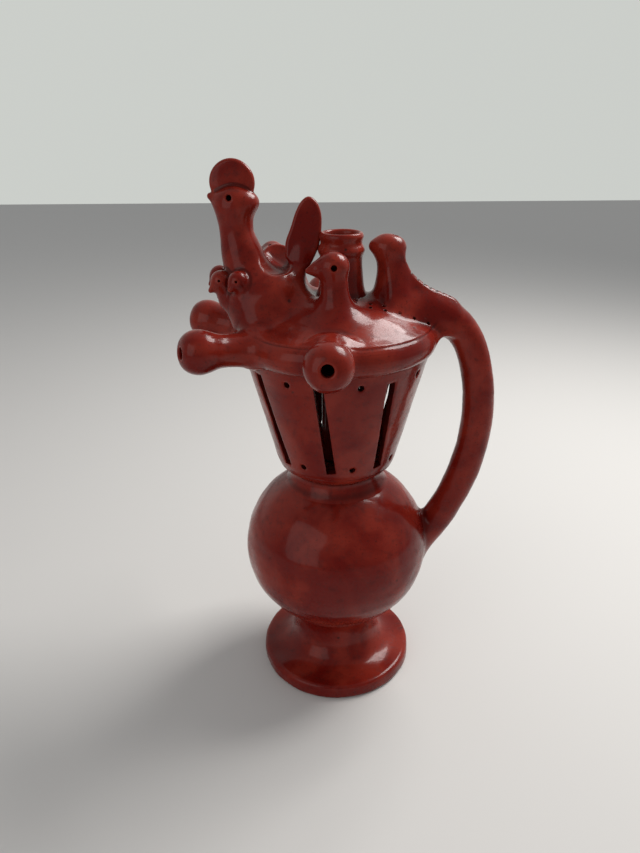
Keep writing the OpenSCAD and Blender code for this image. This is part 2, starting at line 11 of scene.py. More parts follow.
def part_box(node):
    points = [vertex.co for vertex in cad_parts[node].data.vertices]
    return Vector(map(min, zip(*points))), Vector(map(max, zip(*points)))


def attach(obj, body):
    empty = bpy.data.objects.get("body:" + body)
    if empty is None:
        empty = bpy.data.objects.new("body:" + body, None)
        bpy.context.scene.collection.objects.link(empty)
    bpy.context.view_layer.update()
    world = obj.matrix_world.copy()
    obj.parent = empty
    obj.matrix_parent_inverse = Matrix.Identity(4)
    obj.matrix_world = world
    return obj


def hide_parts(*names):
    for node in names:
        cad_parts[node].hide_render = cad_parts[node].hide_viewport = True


bl_info = {
    "name": "Puzzle Jug with Birds",
    "version": (1, 0, 0),
    "blender": (4, 5, 0),
    "location": "3D View > Sidebar > Puzzle Jug",
    "description": "Builds a glazed puzzle jug with luted nozzles, modelled birds and an openwork collar",
    "category": "Add Mesh",
}

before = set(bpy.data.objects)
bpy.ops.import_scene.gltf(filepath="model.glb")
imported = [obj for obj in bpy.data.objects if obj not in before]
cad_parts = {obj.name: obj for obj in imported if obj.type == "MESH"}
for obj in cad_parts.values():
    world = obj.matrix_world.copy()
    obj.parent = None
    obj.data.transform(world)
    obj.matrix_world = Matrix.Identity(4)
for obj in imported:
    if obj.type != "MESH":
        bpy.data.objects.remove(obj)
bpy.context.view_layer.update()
MM = 0.001


def cad_mm(node):
    """Lowest and highest corner of a CAD node, in millimetres."""
    low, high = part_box(node)
    return np.array(low) / MM, np.array(high) / MM


# Heights and radii that the solids already have, in millimetres
BELLY_R = cad_mm("belly")[1][0]
BELLY_TOP_Z = cad_mm("belly")[1][2]
FLOOR_Z = cad_mm("collar_floor")[0][2]
COLLAR_Z = cad_mm("openwork_collar")[0][2]
CHAMBER_Z = cad_mm("openwork_collar")[1][2]
COLLAR_TOP_R = cad_mm("openwork_collar")[1][0]
COLLAR_BOTTOM_R = cad_mm("collar_floor")[1][0]
SHOULDER_R = cad_mm("chamber_dome")[1][0]
SEAT_Z = cad_mm("chamber_dome")[1][2]
RIM_Z = cad_mm("filler_neck")[1][2]
FILLER_X = 2.4
FILLER_BORE_R = 8.0
TUBE_R = 10.2
BELLY_Z = 80.7
BELLY_HALF_H = 48.2
WALL = 4.8
COLLAR_WALL = 4.5
CHAMBER_FLOOR_R = SHOULDER_R - WALL
CHAMBER_FLOOR_T = cad_mm("chamber_floor")[1][2] - CHAMBER_Z

# The camera that took the photograph, as solved from the thrown rims
CAMERA_PLACE = (0.0, -0.32318, 0.29769)
CAMERA_PITCH = 0.4215
CAMERA_ROLL = -0.0095
CAMERA_YAW = -0.0274
CAMERA_FOCAL_PX = 649.71
IMAGE_HEIGHT_PX = 853
SENSOR_MM = 36.0


# Points and fields, all in millimetres
def smooth_min(a, b, reach):
    """The lower of two fields, rounded where they are within reach of each other."""
    near = np.maximum(reach - np.abs(a - b), 0) / reach
    return np.minimum(a, b) - near * near * reach * 0.25


def smooth_max(a, b, reach):
    return -smooth_min(-a, -b, reach)


def ellipsoid(p, centre, radii):
    q = p - np.array(centre, np.float32)
    r = np.array(radii, np.float32)
    k0 = np.linalg.norm(q / r, axis=1)
    k1 = np.linalg.norm(q / (r * r), axis=1)
    return k0 * (k0 - 1) / np.maximum(k1, 1e-6)


def smooth_line(rows, steps):
    """A curve through all rows, with that many steps from one row to the next."""
    rows = np.array(rows, float)
    before = np.vstack([2 * rows[0] - rows[1], rows, 2 * rows[-1] - rows[-2]])
    out = []
    for i in range(1, len(rows)):
        p0, p1, p2, p3 = before[i - 1], before[i], before[i + 1], before[i + 2]
        for t in np.arange(steps) / steps:
            out.append(0.5 * (2 * p1 + (p2 - p0) * t + (2 * p0 - 5 * p1 + 4 * p2 - p3) * t * t
                              + (3 * p1 - p0 - 3 * p2 + p3) * t ** 3))
    out.append(rows[-1])
    return np.array(out)


def strand(p, rows):
    """Distance to a round strand through rows of x, y, z and radius."""
    rows = np.array(rows, np.float32)
    best = np.full(len(p), 1e6, np.float32)
    for a, b in zip(rows[:-1], rows[1:]):
        way = b[:3] - a[:3]
        length = max(float(np.linalg.norm(way)), 1e-6)
        q = p - a[:3]
        along = q @ (way / length)
        across = np.sqrt(np.maximum((q * q).sum(axis=1) - along * along, 0))
        lean = np.clip((a[3] - b[3]) / length, -0.9, 0.9)
        t = np.clip((along - across * lean / math.sqrt(1 - lean * lean)) / length, 0, 1)
        gap = np.hypot(along - t * length, across) - (a[3] + (b[3] - a[3]) * t)
        best = np.minimum(best, gap)
    return best


def outline_distance(outline, q):
    """Signed distance from points q to a closed flat outline, negative inside."""
    outline = np.array(outline, np.float32)
    best = np.full(len(q), 1e12, np.float32)
    inside = np.zeros(len(q), bool)
    for a, b in zip(outline, np.roll(outline, -1, axis=0)):
        way = b - a
        rel = q - a
        t = np.clip(rel @ way / max(float(way @ way), 1e-12), 0, 1)
        best = np.minimum(best, ((rel - t[:, None] * way) ** 2).sum(axis=1))
        if a[1] != b[1]:
            crosses = (a[1] > q[:, 1]) != (b[1] > q[:, 1])
            inside ^= crosses & (rel[:, 0] < way[0] * rel[:, 1] / way[1])
    gap = np.sqrt(best)
    gap[inside] *= -1
    return gap


class FlatTable:
    """The distance to a flat outline, kept on a fine grid so that it is quick to read."""

    def __init__(self, outline, margin=14.0, step=0.25):
        outline = np.array(outline, float)
        self.low = outline.min(axis=0) - margin
        self.step = step
        self.size = np.ceil((outline.max(axis=0) + margin - self.low) / step).astype(int) + 1
        axes = [self.low[i] + step * np.arange(self.size[i]) for i in (0, 1)]
        u, v = np.meshgrid(*axes, indexing="ij")
        spots = np.stack([u.ravel(), v.ravel()], axis=1).astype(np.float32)
        self.grid = outline_distance(outline, spots).reshape(self.size)

    def read(self, u, v):
        a = np.clip((u - self.low[0]) / self.step, 0, self.size[0] - 1.001)
        b = np.clip((v - self.low[1]) / self.step, 0, self.size[1] - 1.001)
        i, j = a.astype(np.int32), b.astype(np.int32)
        s, t = a - i, b - j
        g = self.grid
        return (g[i, j] * (1 - s) * (1 - t) + g[i + 1, j] * s * (1 - t)
                + g[i, j + 1] * (1 - s) * t + g[i + 1, j + 1] * s * t)


def arc(cx, cz, rx, rz, start, end, steps):
    t = np.radians(np.linspace(start, end, steps + 1))
    return np.stack([cx + rx * np.cos(t), cz + rz * np.sin(t)], axis=1)


# The waves of the hand's unevenness: how many, and their least and greatest length and height
WAVES = 14
SHORT_WAVE, LONG_WAVE = 11, 60
WAVE_HEIGHT = 0.085
WAVER = np.random.default_rng(7)
WAVER_WAYS = WAVER.normal(size=(WAVES, 3)).astype(np.float32)
WAVER_WAYS /= np.linalg.norm(WAVER_WAYS, axis=1)[:, None]
WAVER_LENGTHS = np.geomspace(SHORT_WAVE, LONG_WAVE, WAVES).astype(np.float32)
WAVER_STARTS = WAVER.uniform(0, 2 * math.pi, WAVES).astype(np.float32)


def hand_waver(p):
    """The slight unevenness that hands and wheel leave, the same for all pieces at one place."""
    total = np.zeros(len(p), np.float32)
    for way, length, start in zip(WAVER_WAYS, WAVER_LENGTHS, WAVER_STARTS):
        total += np.sin(p @ way * (2 * math.pi / length) + start) * (length / LONG_WAVE) ** 0.5
    return total * WAVE_HEIGHT


# The luted forms
DOME_OUTLINE = np.vstack([
    [[0, CHAMBER_Z], [COLLAR_TOP_R + 1.2, CHAMBER_Z]],
    arc(SHOULDER_R - 8, CHAMBER_Z + 6.5, 8, 8, -50, 56, 10),
    [[47.2, 211.4], [43, 213.3], [38, 215.9], [32, 218.8], [26, 221.4], [20, 223.6],
     [15.4, SEAT_Z], [0, SEAT_Z]]])
NOZZLE_OUTLINE = np.vstack([
    [[0, -27], [10.4, -27]],
    smooth_line([[10.4, -27], [8.9, -23.5], [8.1, -19], [7.85, -14], [8.1, -10], [8.9, -7],
                 [9.95, -4], [10.75, -0.6], [10.7, 2.2], [9.9, 5], [8.3, 7.5], [6.2, 9.1], [4.2, 9.8]], 4),
    [[3.2, 9.87], [0, 9.87]]])
NOZZLE_BORE_R = 2.7
# Bearing, reach and height of each bulb's middle, and the nozzle's upward tilt
NOZZLE_PLACES = {"front_nozzle": (-92.5, 70.5, 13.3, 10), "left_nozzle": (-150, 72.7, 9, 6),
                 "left_rear_nozzle": (162, 72.7, 9, 6), "back_nozzle": (96, 70.5, 13.3, 10)}

DOME_TABLE = FlatTable(DOME_OUTLINE)
NOZZLE_TABLE = FlatTable(NOZZLE_OUTLINE)


def dome_gap(p):
    return DOME_TABLE.read(np.hypot(p[:, 0], p[:, 1]), p[:, 2])


def nozzle_frame(node):
    """Middle of a nozzle's bulb, and the way that it points."""
    bearing, reach, rise, tilt = NOZZLE_PLACES[node]
    b, k = math.radians(bearing), math.radians(tilt)
    way = np.array([math.cos(b) * math.cos(k), math.sin(b) * math.cos(k), math.sin(k)], np.float32)
    return np.array([reach * math.cos(b), reach * math.sin(b), CHAMBER_Z + rise], np.float32), way


def nozzle_gap(node):
    middle, way = nozzle_frame(node)

    def gap(p):
        q = p - middle
        along = q @ way
        across = np.sqrt(np.maximum((q * q).sum(axis=1) - along * along, 0))
        return NOZZLE_TABLE.read(across, along)
    return gap


THROWING_RING = 0.035


def belly_gap(p):
    """The round belly with faint throwing rings, cut level at its top."""
    outer = ellipsoid(p, (0, 0, BELLY_Z), (BELLY_R, BELLY_R, BELLY_HALF_H))
    outer = outer - THROWING_RING * np.sin(p[:, 2] * 0.8 + 0.6 * np.sin(p[:, 2] * 0.21))
    return smooth_max(outer, p[:, 2] - BELLY_TOP_Z, 0.6)


# The large bird: breast, neck and head, and the dish of its back
BREAST = ((-37.5, -1, 221.5), (18, 20.5, 17.5))
HEN_NECK = smooth_line([(-40.5, 0, 229, 13.0), (-44.3, 0, 238, 10.8), (-46.3, 0, 246, 9.7),
                        (-47.9, 0, 253.5, 8.4), (-48.4, 0, 259.5, 8.3), (-48.6, 0, 265, 9.0),
                        (-48.3, 0, 267.6, 8.4)], 4)
HEN_HEAD = ((-47.4, 0, 268.9), (10.6, 8.6, 6.4))
HEN_BEAK = [(-49.5, 0, 268.6, 6.4), (-59.6, 0, 271.9, 1.7)]
HEN_BACK = ((-30.0, 3.0, 223.5), (14.5, 22, 19.5))
BACK_RISE = ((-30.0, 15.0, 226.0), (14.5, 9.5, 21.0))
SADDLE_DISH = ((-29.0, -5.0, 256.5), (16.0, 25.0, 20.5))
TAIL_ROOT = smooth_line([(-16.8, 3.5, 246, 3.2), (-18.2, 1.0, 239, 3.6), (-19.6, -5, 231, 4.0),
                         (-17.0, -12, 222.5, 4.2), (-12, -19, 216, 4.2)], 3)


def large_bird_gap(p):
    body = smooth_min(ellipsoid(p, *BREAST), ellipsoid(p, *HEN_BACK), 6)
    body = smooth_min(body, ellipsoid(p, *BACK_RISE), 5)
    body = smooth_max(body, -ellipsoid(p, *SADDLE_DISH), 1.2)
    body = smooth_min(body, strand(p, TAIL_ROOT), 4.5)
    body = smooth_min(body, strand(p, HEN_NECK), 7)
    head = smooth_min(ellipsoid(p, *HEN_HEAD), strand(p, HEN_BEAK), 3.5)
    return smooth_min(body, head, 3)


TAIL_LEAF = smooth_line([(-25, 243), (-24.6, 250.2), (-22.2, 257.1), (-19.8, 264.0), (-17.2, 268.9),
                         (-13.6, 271.2), (-9.9, 269.2), (-7.6, 264.6), (-7.1, 259.4), (-8.0, 252.4),
                         (-9.6, 246.5), (-14, 239), (-20, 238)], 3)
TAIL_Y = 3.0
TAIL_LEAN = 1.2
TAIL_FOOT_Z, TAIL_H = 240, 31
TAIL_HALF_T, TAIL_THINNING = 3.2, 1.5


def flat_form(side, y, half_t, edge):
    """A flat form with rounded edges, from its outline's distance and its offset from the middle."""
    a = side + edge
    b = np.abs(y) - half_t + edge
    return np.hypot(np.maximum(a, 0), np.maximum(b, 0)) + np.minimum(np.maximum(a, b), 0) - edge


TAIL_TABLE = FlatTable(TAIL_LEAF)


def tail_gap(p):
    """The leaf leans back a little and thins towards its tip."""
    rise = np.clip((p[:, 2] - TAIL_FOOT_Z) / TAIL_H, 0, 1)
    return flat_form(TAIL_TABLE.read(p[:, 0], p[:, 2]), p[:, 1] - TAIL_Y - TAIL_LEAN * rise,
                     TAIL_HALF_T - TAIL_THINNING * rise, 1.4)


COMB = (-49.2, 277.9)
COMB_R = 10.5


def comb_gap(p):
    side = np.hypot(p[:, 0] - COMB[0], p[:, 2] - COMB[1]) - COMB_R
    return flat_form(side, p[:, 1], 2.1 - 0.5 * np.clip((side + COMB_R) / COMB_R, 0, 1) ** 3, 1.5)


def chick_gap(head, beak, radius):
    """A small head with a beak, on a neck that sinks into the breast."""
    def gap(p):
        skull = ellipsoid(p, head, (radius, radius * 0.92, radius * 1.04))
        neck = strand(p, [(*head, radius * 0.8), (head[0] + 3.5, head[1] * 0.8, head[2] - 9, radius * 1.15)])
        snout = strand(p, [(*head, radius * 0.86), (*beak, 1.2)])
        return smooth_min(smooth_min(skull, snout, 1.2), neck, 2.5)
    return gap


def small_bird_gap(neck, head, radii, beak):
    """A head with a beak on a standing neck."""
    neck = smooth_line(neck, 4)

    def gap(p):
        skull = ellipsoid(p, head, radii)
        skull = smooth_min(skull, strand(p, beak), 2.5)
        return smooth_min(skull, strand(p, neck), 3)
    return gap


FRONT_Y = -21.4
FAR_BIRD = (-33.5, 25.5)
front_bird_gap = small_bird_gap(
    [(0.2, FRONT_Y, 215, 11.5), (-0.3, FRONT_Y, 223, 8.4), (-0.7, FRONT_Y, 231, 6.8),
     (-1.0, FRONT_Y, 238, 6.5), (-1.1, FRONT_Y, 242, 6.4)],
    (-1.3, FRONT_Y, 243), (7.3, 6.5, 6.0),
    [(-2.5, FRONT_Y, 242.6, 5.6), (-8.6, FRONT_Y, 241.6, 3.9), (-13.0, FRONT_Y, 240.8, 1.5)])


def far_bird_gap(p):
    """A small head on a broad body, which closes the saddle's far side."""
    x, y = FAR_BIRD
    body = ellipsoid(p, (x + 0.8, y, 223), (12.2, 9.4, 20.4))
    head = smooth_min(ellipsoid(p, (x - 0.2, y, 243.2), (5.2, 4.6, 4.3)),
                      strand(p, [(x - 2, y, 243.2, 3.2), (x - 7.4, y, 242.2, 1.3)]), 1.6)
    return smooth_min(body, head, 3)


rear_bird_gap = small_bird_gap(
    [(28.5, 0, 216, 13), (27.2, 0, 224.5, 9.4), (26.5, 0, 231, 7.3), (26.2, 0, 238, 6.5),
     (25.8, 0, 244, 6.7)],
    (25.4, 0, 248.3), (8.2, 7.2, 5.9),
    [(23, 0, 248.4, 5.2), (18.4, 0, 248.6, 2.8)])

# Crest behind the rear bird: its ridge falls to the handle, and it widens downwards
CREST_RIDGE = smooth_line([(27, 245.5), (33.4, 240.6), (37, 236), (41.2, 232.1), (46.4, 228.2), (51.5, 225.4),
                           (56.6, 223.2), (61.8, 220.4)], 3)
CREST_HALF_W = 2.4
CREST_SPREAD = 0.42
CREST_FROM_X, CREST_TO_X, CREST_LOW_Z = 26, 60, 206


def crest_gap(p):
    depth = np.interp(p[:, 0], CREST_RIDGE[:, 0], CREST_RIDGE[:, 1]) - p[:, 2]
    side = np.abs(p[:, 1]) - CREST_HALF_W - CREST_SPREAD * np.maximum(depth, 0)
    body = smooth_max(side / math.hypot(1, CREST_SPREAD), -depth * 0.78, 1.6)
    ends = np.maximum(CREST_FROM_X - p[:, 0], p[:, 0] - CREST_TO_X)
    return smooth_max(smooth_max(body, ends, 3), CREST_LOW_Z - p[:, 2], 2)


def low_thickness(angle):
    """The handle swells where it is pressed onto the belly."""
    return 8.25 + max(0.0, (-angle - 26) / 17) ** 1.5


def high_thickness(angle):
    """The handle swells a little where it meets the chamber."""
    return 8.3 + 0.8 * max(0.0, (angle - 60) / 50)


# The handle's bends from the belly up: middle X and Z, radius, first and last angle, steps, thickness
HANDLE_BENDS = [(-54.3, 162, 130, -43, 0, 15, low_thickness),
                (-24.3, 162, 100, 3, 21, 6, lambda angle: 8.25),
                (40.58, 186.9, 30.5, 28, 118, 15, high_thickness)]


def handle_line():
    """The strand's middle line with its thickness, from the belly up to the chamber."""
    rows = []
    for x, z, r, first, last, steps, thick in HANDLE_BENDS:
        for angle in np.linspace(first, last, steps):
            a = math.radians(angle)
            rows.append((x + r * math.cos(a), 0, z + r * math.sin(a), thick(angle)))
    return np.array(rows)


HANDLE_LINE = handle_line()


Part = namedtuple("Part", "node gap low high blend cell")


def part(node, gap, low, high, blend, cell=0.62):
    return Part(node, gap, np.array(low, float), np.array(high, float), blend, cell)


def nozzle_part(node):
    middle, way = nozzle_frame(node)
    ends = [middle - 29 * way, middle]
    return part(node, nozzle_gap(node), np.min(ends, axis=0) - 13, np.max(ends, axis=0) + 13, 6.5, 0.6)


CHICKS = {"chick_rear": chick_gap((-59.0, 6, 233.6), (-63.4, 4.6, 229.5), 4.7),
          "chick_middle": chick_gap((-55.9, -8, 233.6), (-61.0, -10, 229.4), 4.8),
          "chick_front": chick_gap((-46.7, -14.6, 234.4), (-50.2, -17.2, 231.4), 4.5)}

# In the order in which they are luted, with the reach of the smeared joint of each
PARTS = [part("chamber_dome", dome_gap, (-55, -55, 194), (55, 55, 232), 1, 0.7)]
PARTS += [nozzle_part(node) for node in NOZZLE_PLACES]
PARTS += [
    part("large_bird", large_bird_gap, (-64, -26, 198), (-6, 24, 279), 9, 0.62),
    part("chick_rear", CHICKS["chick_rear"], (-67, -1, 220), (-50, 14, 243), 2.2, 0.4),
    part("chick_middle", CHICKS["chick_middle"], (-65, -15, 220), (-47, 0, 243), 2.2, 0.4),
    part("chick_front", CHICKS["chick_front"], (-55, -24, 220), (-37, -6, 243), 2.2, 0.4),
    part("large_bird_tail", tail_gap, (-30, -4, 232), (-2, 10, 275), 3.2, 0.5),
    part("large_bird_comb", comb_gap, (-63, -5, 264), (-34, 5, 293), 1.2, 0.5),
    part("front_bird", front_bird_gap, (-18, -36, 208), (14, -8, 253), 7, 0.5),
    part("far_bird", far_bird_gap, (-50, 10, 200), (-18, 40, 252), 8, 0.5),
    part("rear_bird", rear_bird_gap, (12, -15, 210), (44, 15, 258), 5, 0.5),
    part("toothed_crest", crest_gap, (22, -18, 203), (64, 18, 246), 5, 0.5),
    part("handle", lambda p: strand(p, HANDLE_LINE), (22, -11, 60), (88, 11, 230), 4.5, 0.75),
    part("belly", belly_gap, (-56, -56, 28), (56, 56, 127), 4.5, 1.0),
]
# How far a smeared joint reaches, and how far a piece runs on under the next one
REACH = 10.0
OVERLAP = 1.1
# How steeply a piece dips under the next one where they overlap
TUCK = 0.3

# Rows of marks: first place, last place, count, and the way along which they drop onto the piece
STAB_WAY = (0.0, 0.64, -0.77)
STAB_ROWS = [((9.5, -33.0, 248), (43.5, -25.2, 235), 6, STAB_WAY),
             ((9.0, -35.6, 246), (45.0, -27.4, 233), 6, STAB_WAY)]
STAB_R = 0.85
STAB_L = 3.2
NOTCH_ROW = ((34.0, 0, 262), (56.0, 0, 262), 8, (0.0, 0.0, -1.0))
NOTCH_R = 0.9
NOTCH_L = 14
NOTCH_LIFT = 0.2

Hole = namedtuple("Hole", "rows rounding")


def holes():
    """Bores and eye holes as strands that are taken away, each with the roundness of its rim."""
    found = []
    for node in NOZZLE_PLACES:
        middle, way = nozzle_frame(node)
        bore = [(*(middle + run * way), NOZZLE_BORE_R) for run in (-14, 14)]
        found.append(Hole(bore, 1.1))
    for x, y, z, r in ((-49.8, 0, 271.6, 1.3), (-1.1, FRONT_Y, 243, 1.4), (-33.9, 25.5, 245.4, 0.9)):
        for side in (-1, 1):
            found.append(Hole([(x, y + side * 8.5, z, r), (x, y + side * 2.5, z, r)], 0.6))
    found.append(Hole([(28.3, 0, 243, 1.5), (28.3, 0, 262, 1.5)], 0.6))
    found.append(Hole([(-55.6, -16, 234.6, 0.55), (-56.4, -10.8, 234.4, 0.55)], 0.3))
    found.append(Hole([(-47.2, -22, 235.4, 0.55), (-47.0, -17.6, 235.2, 0.55)], 0.3))
    return found


HOLES = holes()


def luted(p, low, high):
    """The whole smeared body at points p, and the distance to each part near the box."""
    gaps = {}
    total = None
    for each in PARTS:
        if not (np.all(each.low - REACH < high) and np.all(each.high + REACH > low)):
            continue
        gap = each.gap(p)
        gaps[each.node] = gap
        total = gap if total is None else smooth_min(total, gap, each.blend)
    total = total + hand_waver(p)
    for hole in HOLES:
        rows = np.array(hole.rows)
        if np.all(rows[:, :3].min(axis=0) - 4 < high) and np.all(rows[:, :3].max(axis=0) + 4 > low):
            total = smooth_max(total, -strand(p, rows), hole.rounding)
    return total, gaps


def piece_gap(node, p, low, high):
    """The smeared body's share that one piece takes, with the hollows of its own."""
    total, gaps = luted(p, low, high)
    if node not in gaps:
        return np.ones(len(p), np.float32)
    own = gaps.pop(node)
    if gaps:
        lead = own - np.min(list(gaps.values()), axis=0)
        total = np.maximum(total + TUCK * np.clip(lead, 0, OVERLAP), lead - OVERLAP)
    if node == "chamber_dome":
        across = np.hypot(p[:, 0], p[:, 1])
        recess = np.maximum(across - CHAMBER_FLOOR_R - 0.05, p[:, 2] - CHAMBER_Z - CHAMBER_FLOOR_T - 0.05)
        tube = np.hypot(p[:, 0] - FILLER_X, p[:, 1]) - TUBE_R
        total = np.maximum(total, -np.minimum(recess, tube))
    if node == "belly":
        inner = ellipsoid(p, (0, 0, BELLY_Z), (BELLY_R - WALL, BELLY_R - WALL, BELLY_HALF_H - WALL))
        total = np.maximum(total, -inner)
    if node == "chamber_dome" or node.endswith("nozzle"):
        total = np.maximum(total, collar_clear(p))
    return total


COLLAR_SLOPE = 0.257


def collar_r(z):
    """The collar's outer radius at this height."""
    return COLLAR_BOTTOM_R + (COLLAR_TOP_R - COLLAR_BOTTOM_R) * (z - COLLAR_Z) / (CHAMBER_Z - COLLAR_Z)


def collar_clear(p):
    """Positive inside the collar, where no luted piece may reach."""
    across = np.hypot(p[:, 0], p[:, 1])
    wall_r = COLLAR_TOP_R - 1.5 + (p[:, 2] - CHAMBER_Z) * COLLAR_SLOPE
    return np.minimum(wall_r - across, CHAMBER_Z - p[:, 2])


# How many cells along each side are read at once
BLOCK = 18
# A cell's corners, and its edges as pairs of corners
CORNERS = [(0, 0, 0), (1, 0, 0), (0, 1, 0), (1, 1, 0), (0, 0, 1), (1, 0, 1), (0, 1, 1), (1, 1, 1)]
EDGES = [(0, 1), (2, 3), (4, 5), (6, 7), (0, 2), (1, 3), (4, 6), (5, 7), (0, 4), (1, 5), (2, 6), (3, 7)]


def skin_of(gap, low, high, cell):
    """A closed skin of quads where the field is nought, one corner in each cell that it crosses."""
    size = np.ceil((np.array(high) - low) / cell).astype(int) + 1
    axes = [low[i] + cell * np.arange(size[i]) for i in range(3)]
    grid = np.empty(size, np.float32)
    starts = [range(0, size[i], BLOCK) for i in range(3)]
    for at in product(*starts):
        block = tuple(slice(a, a + BLOCK) for a in at)
        block_axes = [axes[i][block[i]] for i in range(3)]
        p = np.stack(np.meshgrid(*block_axes, indexing="ij"), axis=-1).astype(np.float32)
        flat = p.reshape(-1, 3)
        grid[block] = gap(flat, flat[0], flat[-1]).reshape(p.shape[:3])
    for axis in range(3):
        edge = [slice(None)] * 3
        for side in (0, -1):
            edge[axis] = side
            grid[tuple(edge)] = np.maximum(grid[tuple(edge)], 0.01)
    inside = grid < 0
    corner = [tuple(slice(c, size[i] - 1 + c) for i, c in enumerate(at)) for at in CORNERS]
    count = sum(inside[at].astype(np.int8) for at in corner)
    mixed = (count > 0) & (count < 8)
    cells = np.argwhere(mixed)
    index = np.full(mixed.shape, -1, np.int64)
    index[mixed] = np.arange(len(cells))
    values = np.stack([grid[tuple((cells + at).T)] for at in CORNERS], axis=1)
    spot = np.zeros((len(cells), 3))
    hits = np.zeros(len(cells))
    for a, b in EDGES:
        va, vb = values[:, a], values[:, b]
        cut = (va < 0) != (vb < 0)
        t = np.where(cut, va / np.where(cut, va - vb, 1), 0)[:, None]
        at = np.array(CORNERS[a]) * (1 - t) + np.array(CORNERS[b]) * t
        spot[cut] += at[cut]
        hits[cut] += 1
    points = np.array(low) + cell * (cells + spot / hits[:, None])
    quads = []
    for axis in range(3):
        u, v = [(1, 2), (2, 0), (0, 1)][axis]
        lower = [slice(None)] * 3
        upper = [slice(None)] * 3
        lower[axis] = slice(0, -1)
        upper[axis] = slice(1, None)
        a, b = inside[tuple(lower)], inside[tuple(upper)]
        for sign, crossing in ((1, a & ~b), (-1, ~a & b)):
            at = np.argwhere(crossing)
            at = at[(at[:, u] > 0) & (at[:, v] > 0) & (at[:, u] < size[u] - 1) & (at[:, v] < size[v] - 1)]
            step_u, step_v = np.eye(3, dtype=int)[[u, v]]
            ring = [at - step_u - step_v, at - step_v, at, at - step_u]
            quad = np.stack([index[tuple(r.T)] for r in ring], axis=1)
            quads.append(quad if sign > 0 else quad[:, ::-1])
    return points, np.vstack(quads)


def by_block(gap, points, size=12.0):
    """Reads a field at scattered points, block by block, so that far parts are left out."""
    keys = np.floor(points / size).astype(int)
    order = np.lexsort(keys.T)
    cuts = np.flatnonzero(np.any(np.diff(keys[order], axis=0), axis=1)) + 1
    out = np.empty(len(points))
    for group in np.split(order, cuts):
        p = points[group]
        out[group] = gap(p.astype(np.float32), p.min(axis=0), p.max(axis=0))
    return out


def slope(gap, points, step=0.12):
    """The field's steepest way at each point."""
    out = np.empty((len(points), 3))
    for axis in range(3):
        shift = np.zeros(3)
        shift[axis] = step
        out[:, axis] = (by_block(gap, points + shift) - by_block(gap, points - shift)) / (2 * step)
    return out


def settle(gap, points, cell, rounds=2):
    """Moves the skin's corners onto the field's nought."""
    for _ in range(rounds):
        value = by_block(gap, points)
        way = slope(gap, points)
        move = -(value / np.maximum((way * way).sum(axis=1), 0.05))[:, None] * way
        length = np.linalg.norm(move, axis=1)[:, None]
        points = points + move * np.minimum(1, 0.5 * cell / np.maximum(length, 1e-9))
    return points


def read_each(items, name):
    """One row of three numbers for each item of a mesh."""
    values = np.empty(len(items) * 3, np.float32)
    items.foreach_get(name, values)
    return values.reshape(-1, 3)


def write_points(mesh, points):
    mesh.vertices.foreach_set("co", (points * MM).astype(np.float32).ravel())
    mesh.update()


def new_piece(name, points, faces, material, normals=None, joint=None, edge=None):
    """A mesh object at the origin with its place in its mesh; points are in millimetres."""
    mesh = bpy.data.meshes.new(name)
    mesh.from_pydata((np.asarray(points) * MM).tolist(), [], [tuple(int(i) for i in f) for f in faces])
    mesh.polygons.foreach_set("use_smooth", [True] * len(mesh.polygons))
    mesh.update()
    mesh.materials.append(material)
    for kind, values in (("joint", joint), ("edge", edge)):
        if values is not None:
            layer = mesh.attributes.new(kind, "FLOAT", "POINT")
            layer.data.foreach_set("value", np.asarray(values, np.float32))
    if normals is not None:
        set_normals(mesh, normals)
    piece = bpy.data.objects.new(name, mesh)
    bpy.context.scene.collection.objects.link(piece)
    return piece


def set_normals(mesh, normals):
    """Shades the mesh by the field's slope, except where the skin itself turns sharply."""
    own = read_each(mesh.vertex_normals, "vector")
    normals = normals / np.maximum(np.linalg.norm(normals, axis=1), 1e-9)[:, None]
    sharp = (own * normals).sum(axis=1) < 0.8
    normals[sharp] = own[sharp]
    mesh.normals_split_custom_set_from_vertices(normals.tolist())


def place_piece(piece, *nodes):
    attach(piece, "root")
    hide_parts(*nodes)
    return piece


# Joints between thrown pieces: radius, height, offset along X
THROWN_JOINTS = [(25.5, 122.6, 0.0), (26.5, 38.6, 0.0), (12.8, SEAT_Z + 0.4, FILLER_X), (25.2, FLOOR_Z, 0.0)]


def thrown_joint(points):
    """One at a joint between thrown pieces, falling to nought a few millimetres away."""
    best = np.zeros(len(points))
    for r, z, x in THROWN_JOINTS:
        away = np.hypot(np.hypot(points[:, 0] - x, points[:, 1]) - r, points[:, 2] - z)
        best = np.maximum(best, np.exp(-(away / 2.4) ** 2))
    return best


def smeared(p, low, high):
    return luted(p, low, high)[0]


def hollows(points, step=1.2):
    """How much the smeared surface hollows in at each point, and how much it bulges out."""
    turn = -6 * by_block(smeared, points)
    for axis in range(3):
        for way in (-step, step):
            shift = np.zeros(3)
            shift[axis] = way
            turn += by_block(smeared, points + shift)
    turn /= step * step
    return np.clip((-turn - 0.03) / 0.28, 0, 1), np.clip((turn - 0.24) / 0.5, 0, 1)


def modelled_piece(node):
    """One luted piece, cut from the smeared body where the next piece begins."""
    each = next(e for e in PARTS if e.node == node)
    gap = partial(piece_gap, node)
    points, quads = skin_of(gap, each.low, each.high, each.cell)
    points = settle(gap, points, each.cell)
    # The joint mask marks hollows and joints, where the glaze is painted darker: partly pooled glaze, partly
    # painted shade
    joint, edge = hollows(points)
    joint = np.maximum(joint, thrown_joint(points))
    piece = new_piece("visual_" + node, points, quads, glaze_material(), slope(smeared, points), joint, edge)
    return place_piece(piece, node)


def modelled_pieces(*nodes):
    for node in nodes:
        modelled_piece(node)
    return {"FINISHED"}


